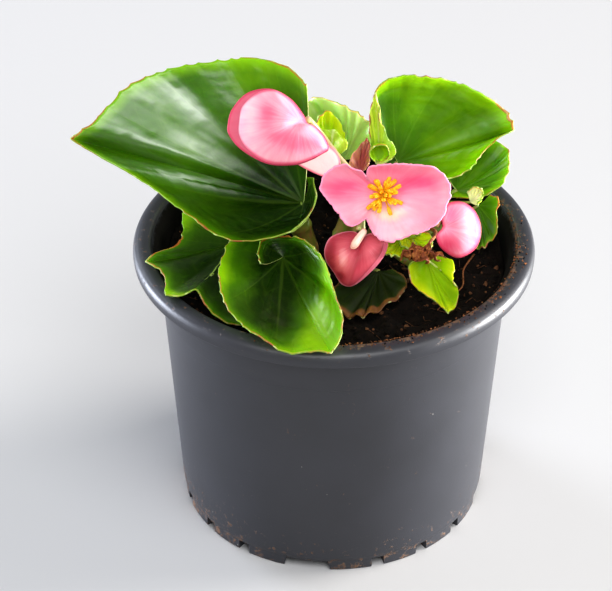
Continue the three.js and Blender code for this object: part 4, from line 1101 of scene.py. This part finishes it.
# Buds: two tepals closed on each other, whose ribs spread from the notch where the stalk joins. The front
# one has its own outline, and a valley from a point in a direction, with its depth. Large buds show a lip.
buds = {
    "bud_large": {
        "at": (-16.3, -3.6, 131), "lean": 55, "front": 5, "back": 4,
        "seam": [(-14.6, 1.3), (-13.2, 5.7), (-8.8, 10.2), (-2.1, 11.3), (3.5, 8.5), (7.2, 4), (8.4, 1.4),
                 (10.8, 0.4), (13.5, -2.6), (14.6, -5.9), (12.9, -7.6), (8.4, -9.8), (4, -10.8),
                 (-3.2, -10.4), (-10.5, -6.5), (-14.3, -2)],
        "tepal": [(-12, 1.6), (-10.8, 6.2), (-6.8, 9.8), (-1.6, 11), (3.4, 8.2), (6.9, 3.9), (8.2, 1.5),
                  (10.6, 0.3), (13.2, -2.8), (14.2, -5.8), (12.6, -7.4), (8.2, -9.5), (4, -10.5),
                  (-2.8, -10.1), (-8.9, -6.4), (-11.8, -2.2)],
        "notch": (6.2, 1.9), "valley": ((6.2, 1.9), 222, 1.1), "base": 0.3,
        "patches": [((-3, 3.4), (2.8, 4), 0.36), ((0.5, -2.8), (5, 2), 0.28), ((5, -5), (5.5, 2.6), 0.28),
                    ((5.5, 3.5), (4.5, 4.5), 0.22), ((11, -4), (3, 3), 0.15), ((-8, 3), (2, 6), -0.12)],
        "lip": [(3, -8), (6.2, -10.9), (12.9, -14), (16.4, -13), (17.9, -9.8), (16, -6.2), (11, -4)],
    },
    "bud_front": {
        "at": (5, -20.3, 97), "lean": 55, "front": 4, "back": 3.6,
        "seam": [(-8, 2.4), (-6.4, 5.8), (-3, 7.4), (0.5, 7.7), (3, 6.4), (6, 7.2), (9.6, 6), (10.6, 4.3),
                 (9.2, 0.1), (4.8, -4.9), (0.3, -8.2), (-3, -7.7), (-5.3, -4.3), (-7.5, -1)],
        "tepal": [(-7.7, 2.3), (-6.1, 5.5), (-2.9, 7.1), (0.5, 7.4), (3, 6.1), (5.8, 6.7), (8.8, 5.4),
                  (9.4, 3.9), (8, 0.1), (4, -4.6), (0.1, -8), (-2.8, -7.4), (-5.1, -4.2), (-7.2, -1)],
        "notch": (3, 5), "valley": ((3, 6), 250, 0.7), "base": 0.66,
        "patches": [((-2.6, 0), (2.2, 4), -0.5), ((6, 2), (2.6, 3), -0.3), ((-6, 1), (1.6, 5), 0.3),
                    ((2, 1), (1.4, 4), 0.2), ((-3.4, -5.4), (1.2, 1.2), 0.5)],
    },
    "bud_right": {
        "at": (36.4, -16.7, 104), "lean": 55, "front": 4.2, "back": 3.8,
        "seam": [(0.6, 8.5), (4.5, 5.7), (6.2, 0.7), (5.1, -4.4), (1.8, -7.2), (-1.6, -7.7), (-5.6, -4.9),
                 (-6.9, -1.5), (-5.2, 1.1), (-5.6, 4.6), (-3.8, 7.9)],
        "tepal": [(0.6, 8.3), (4.2, 5.5), (5.8, 0.7), (4.8, -4.2), (1.7, -6.9), (-1.5, -7.4), (-5.3, -4.7),
                  (-6.6, -1.5), (-5, 1.1), (-5.3, 4.5), (-3.6, 7.7)],
        "notch": (-4.8, 1), "valley": ((-5, 1.1), -10, 0.7), "base": 0.42,
        "patches": [((-3.5, -4), (3, 2.6), 0.5), ((5.5, -1), (1.6, 5), 0.4), ((-2.5, 4.5), (2, 3), 0.22),
                    ((1.6, 1), (1.8, 5), -0.2)],
    },
    "bud_small": {
        "at": (6.8, -21.6, 104), "lean": 40, "front": 1.1, "back": 1.1,
        "seam": [(1.4, 3.6), (2.5, 2.6), (1.1, 0), (-0.6, -2.4), (-2.2, -2.4), (-1.9, -0.4), (-0.2, 2)],
        "tepal": [(1.4, 3.4), (2.3, 2.5), (0.9, 0), (-0.7, -2.2), (-2, -2.2), (-1.7, -0.4), (-0.1, 2)],
        "notch": (1.6, 3), "valley": ((1.4, 3), -120, 0.25), "base": 0.3,
        "patches": [((-1.2, -2), (1, 1), 0.4)],
    },
}
budStops = [(0, "#e8c4c0"), (0.3, "#e29caa"), (0.6, "#d96a84"), (1, "#cc345a")]
deepStops = [(0, "#dc9ca2"), (0.4, "#ba5460"), (0.75, "#9a2e3e"), (1, "#7e1e2c")]
lipStops = [(0, "#e4c6bc"), (0.5, "#dcaaac"), (1, "#d27a90")]
budSkin = makePetalMaterial("budTepal", budStops, "#dc3560", 1.1, 0.17)
rearSkin = makePetalMaterial("budRearTepal", [(0, "#c26074"), (1, "#ae344e")], "#ae2848", 0.9, 0.2)
deepSkin = makePetalMaterial("budTepalDeep", deepStops, "#a42c42", 0.7, 0.14)
deepRear = makePetalMaterial("budRearTepalDeep", [(0, "#ca7484"), (1, "#ae4054")], "#c06c7c", 0.6, 0.1)
smallSkin = makePetalMaterial("smallBudTepal", [(0, "#efd2c2"), (1, "#c98474")], "#c98474", 0.4, 0.3)
lipSkin = makePetalMaterial("budLip", lipStops, "#cc3a5c", 0.9)
budSkins = {"bud_front": (deepSkin, deepRear), "bud_small": (smallSkin, smallSkin)}


# Half of a closed bud: a dome over its outline
def addDome(bm, outline, swell, lift, item, material, grid):
    points = [Vector((x, y, 0)) for x, y in outline]
    low = Vector([min(point[axis] for point in points) for axis in range(3)])
    high = Vector([max(point[axis] for point in points) for axis in range(3)])
    middle = (low + high) / 2
    valleyFrom, valleyTurn, depth = item["valley"]
    downhill = Vector((math.cos(math.radians(valleyTurn)), math.sin(math.radians(valleyTurn)), 0))

    def place(across, along):
        end = curvePoint(points, across, closed=True)
        out = math.sin(math.pi / 2 * along)
        flat = middle.lerp(end, out)
        ray = flat - Vector((*item["notch"], 0))
        turn = math.atan2(ray.y, ray.x)
        height = swell * max(1 - out * out, 0) ** 0.75 + lift * (1 - 0.5 * out)
        ribs = math.sin(turn * 11 + 2 * math.sin(turn * 3)) * min(ray.length / 6, 1) * (1 - out ** 8)
        height += math.copysign(0.06, swell) * ribs
        if material == 0 and swell > 0:
            offset = flat - Vector((*valleyFrom, 0))
            down, aside = offset.dot(downhill), offset.cross(downhill).length
            if down > -2:
                trough = math.exp(-(aside / 1.7) ** 2) * math.exp(-(max(down, 0) / 7) ** 2)
                height -= depth * trough * (1 - out ** 4)
        return Vector((flat.x, flat.y, height)), {
            "flush": flushAt(flat.x, flat.y, item), "rib": ray.length, "fanX": math.cos(turn),
            "fanY": math.sin(turn), "edge": (1 - out) * (end - middle).length}

    return addSheet(bm, *grid, place, material, outward=swell > 0)


def makeBud(item):
    bm = newSheetShape("flush", "fanX", "fanY", "rib", "edge")
    # outline, swell and lift of its two domes, material and grid
    shells = [(item["seam"], (item["front"] * 0.5, 0), (-item["back"], 0), 1, (110, 30)),
              (item["tepal"], (item["front"] - 0.8, 0.9), (-item["back"] * 0.5, 0.2), 0, (110, 30))]
    if "lip" in item:
        shells.append((item["lip"], (1, -1), (-2, -1), 2, (60, 16)))
    for outline, outer, inner, material, grid in shells:
        faces = addDome(bm, outline, *outer, item, material, grid)
        faces += addDome(bm, outline, *inner, item, material, grid)
        bmesh.ops.remove_doubles(bm, verts=list({vert for face in faces for vert in face.verts}), dist=1e-3)
    bmesh.ops.recalc_face_normals(bm, faces=bm.faces)
    return bm


for node, item in buds.items():
    skins = budSkins.get(node, (budSkin, rearSkin))
    finishPiece(makeBud(item), camel(node), [*skins, lipSkin], [node], leanedAt(item))
print("buds closed")


# Young shoot under the flower. Each leaf is its place, turn, length, width and rise, and the outline is in
# shares of its length and width.
shoot = {
    "route": [(13, 4, 91), (17, -3, 94), (20.5, -8.5, 97)], "radius": 1,
    "leaves": [((20.5, -8.5, 97.4), -110, 12.5, 12, -4), ((20.5, -8.5, 97.4), -48, 12.5, 11.5, 4),
               ((20.1, -8, 97), -165, 8, 7, 10), ((20.5, -8.5, 97), 20, 8, 7, 20)],
    "outline": [(1, 0), (0.75, 0.32), (0.4, 0.5), (0.12, 0.34)], "dish": 0.12, "tone": 0.75,
}


def makeShoot():
    whole = bmesh.new()
    for at, heading, length, width, rise in shoot["leaves"]:
        left = [(x * length, y * width, 0) for x, y in shoot["outline"]]
        part = makeBlade({
            "heart": (0, 0, 0), "tip": left[0],
            "left": left[1:], "right": [(x, -y, z) for x, y, z in left[1:]],
            "grid": (70, 12), "veins": 2, "dish": shoot["dish"], "tone": shoot["tone"]})
        turn = Matrix.Rotation(math.radians(heading), 4, "Z") @ Matrix.Rotation(math.radians(-rise), 4, "Y")
        part.transform(Matrix.Translation(Vector(at)) @ turn)
        join(whole, part)
    addTube(whole, shoot["route"], lambda along: shoot["radius"] * (1.05 - 0.3 * along), sides=12, material=3)
    return whole


finishPiece(makeShoot(), "leafShoot", [*youngSkins, stalkSkin], ["leaf_shoot"])

# Withered flower: dead petals, dry, crumpled and brown, on a stalk of their own. Vector noise starts from
# the clock unless it is seeded, so the crumple has a fixed seed.
withered = {
    "stalk": [(15.5, 4, 96), (29, -6, 97.5), (28, -15, 99), (25.5, -18.8, 98.8)], "stalkRadius": 0.6,
    "at": (25.2, -20.4, 98.4), "pieces": 13, "spread": 6.2, "size": 2.3, "depthShare": 0.5, "stepRound": 137,
    "thickness": 0.28, "curl": 1.9, "noiseSeed": 1795865352,
}
drySkin = makeGrained("dryPetal", (600, 6, 0.7), [(0.3, "#381606"), (0.5, "#7a3c14"), (0.7, "#b67e3c")],
                      (0.8, 0.5 * mm), {"Roughness": 0.75})


def makeWithered():
    noise.seed_set(withered["noiseSeed"])
    bm = bmesh.new()
    at = Vector(withered["at"])
    for piece in range(withered["pieces"]):
        offset = around(withered["spread"] * piece / withered["pieces"], piece * withered["stepRound"])
        offset.y *= withered["depthShare"]
        tipped = Matrix.Rotation(math.radians(piece * 47), 4, "X")
        turn = tipped @ Matrix.Rotation(math.radians(piece * 71), 4, "Y")
        shift = Vector((piece * 5, 3, 1))

        def place(across, along):
            x, y = across * 2 - 1, along * 2 - 1
            curl = withered["curl"] * x
            rolled = Vector((math.sin(curl) * 0.6, y * (1 - 0.3 * x * x), (1 - math.cos(curl)) * 0.6 - 0.4))
            flat = rolled * withered["size"] * 0.8
            crumple = noise.noise_vector(flat * 0.7 + shift) * 0.9 + noise.noise_vector(flat * 2 + shift) * 0.3
            return turn @ (flat + crumple) + at + offset, {}

        addSheet(bm, 16, 14, place)
    thick = thicken(bm, withered["thickness"])
    for face in thick.faces:
        face.material_index = 0
    addTube(thick, withered["stalk"], lambda along: withered["stalkRadius"] * (1.1 - 0.4 * along), sides=10)
    return thick


finishPiece(makeWithered(), "witheredFlower", [drySkin], ["withered_flower"])
print("shoot and withered flower placed")
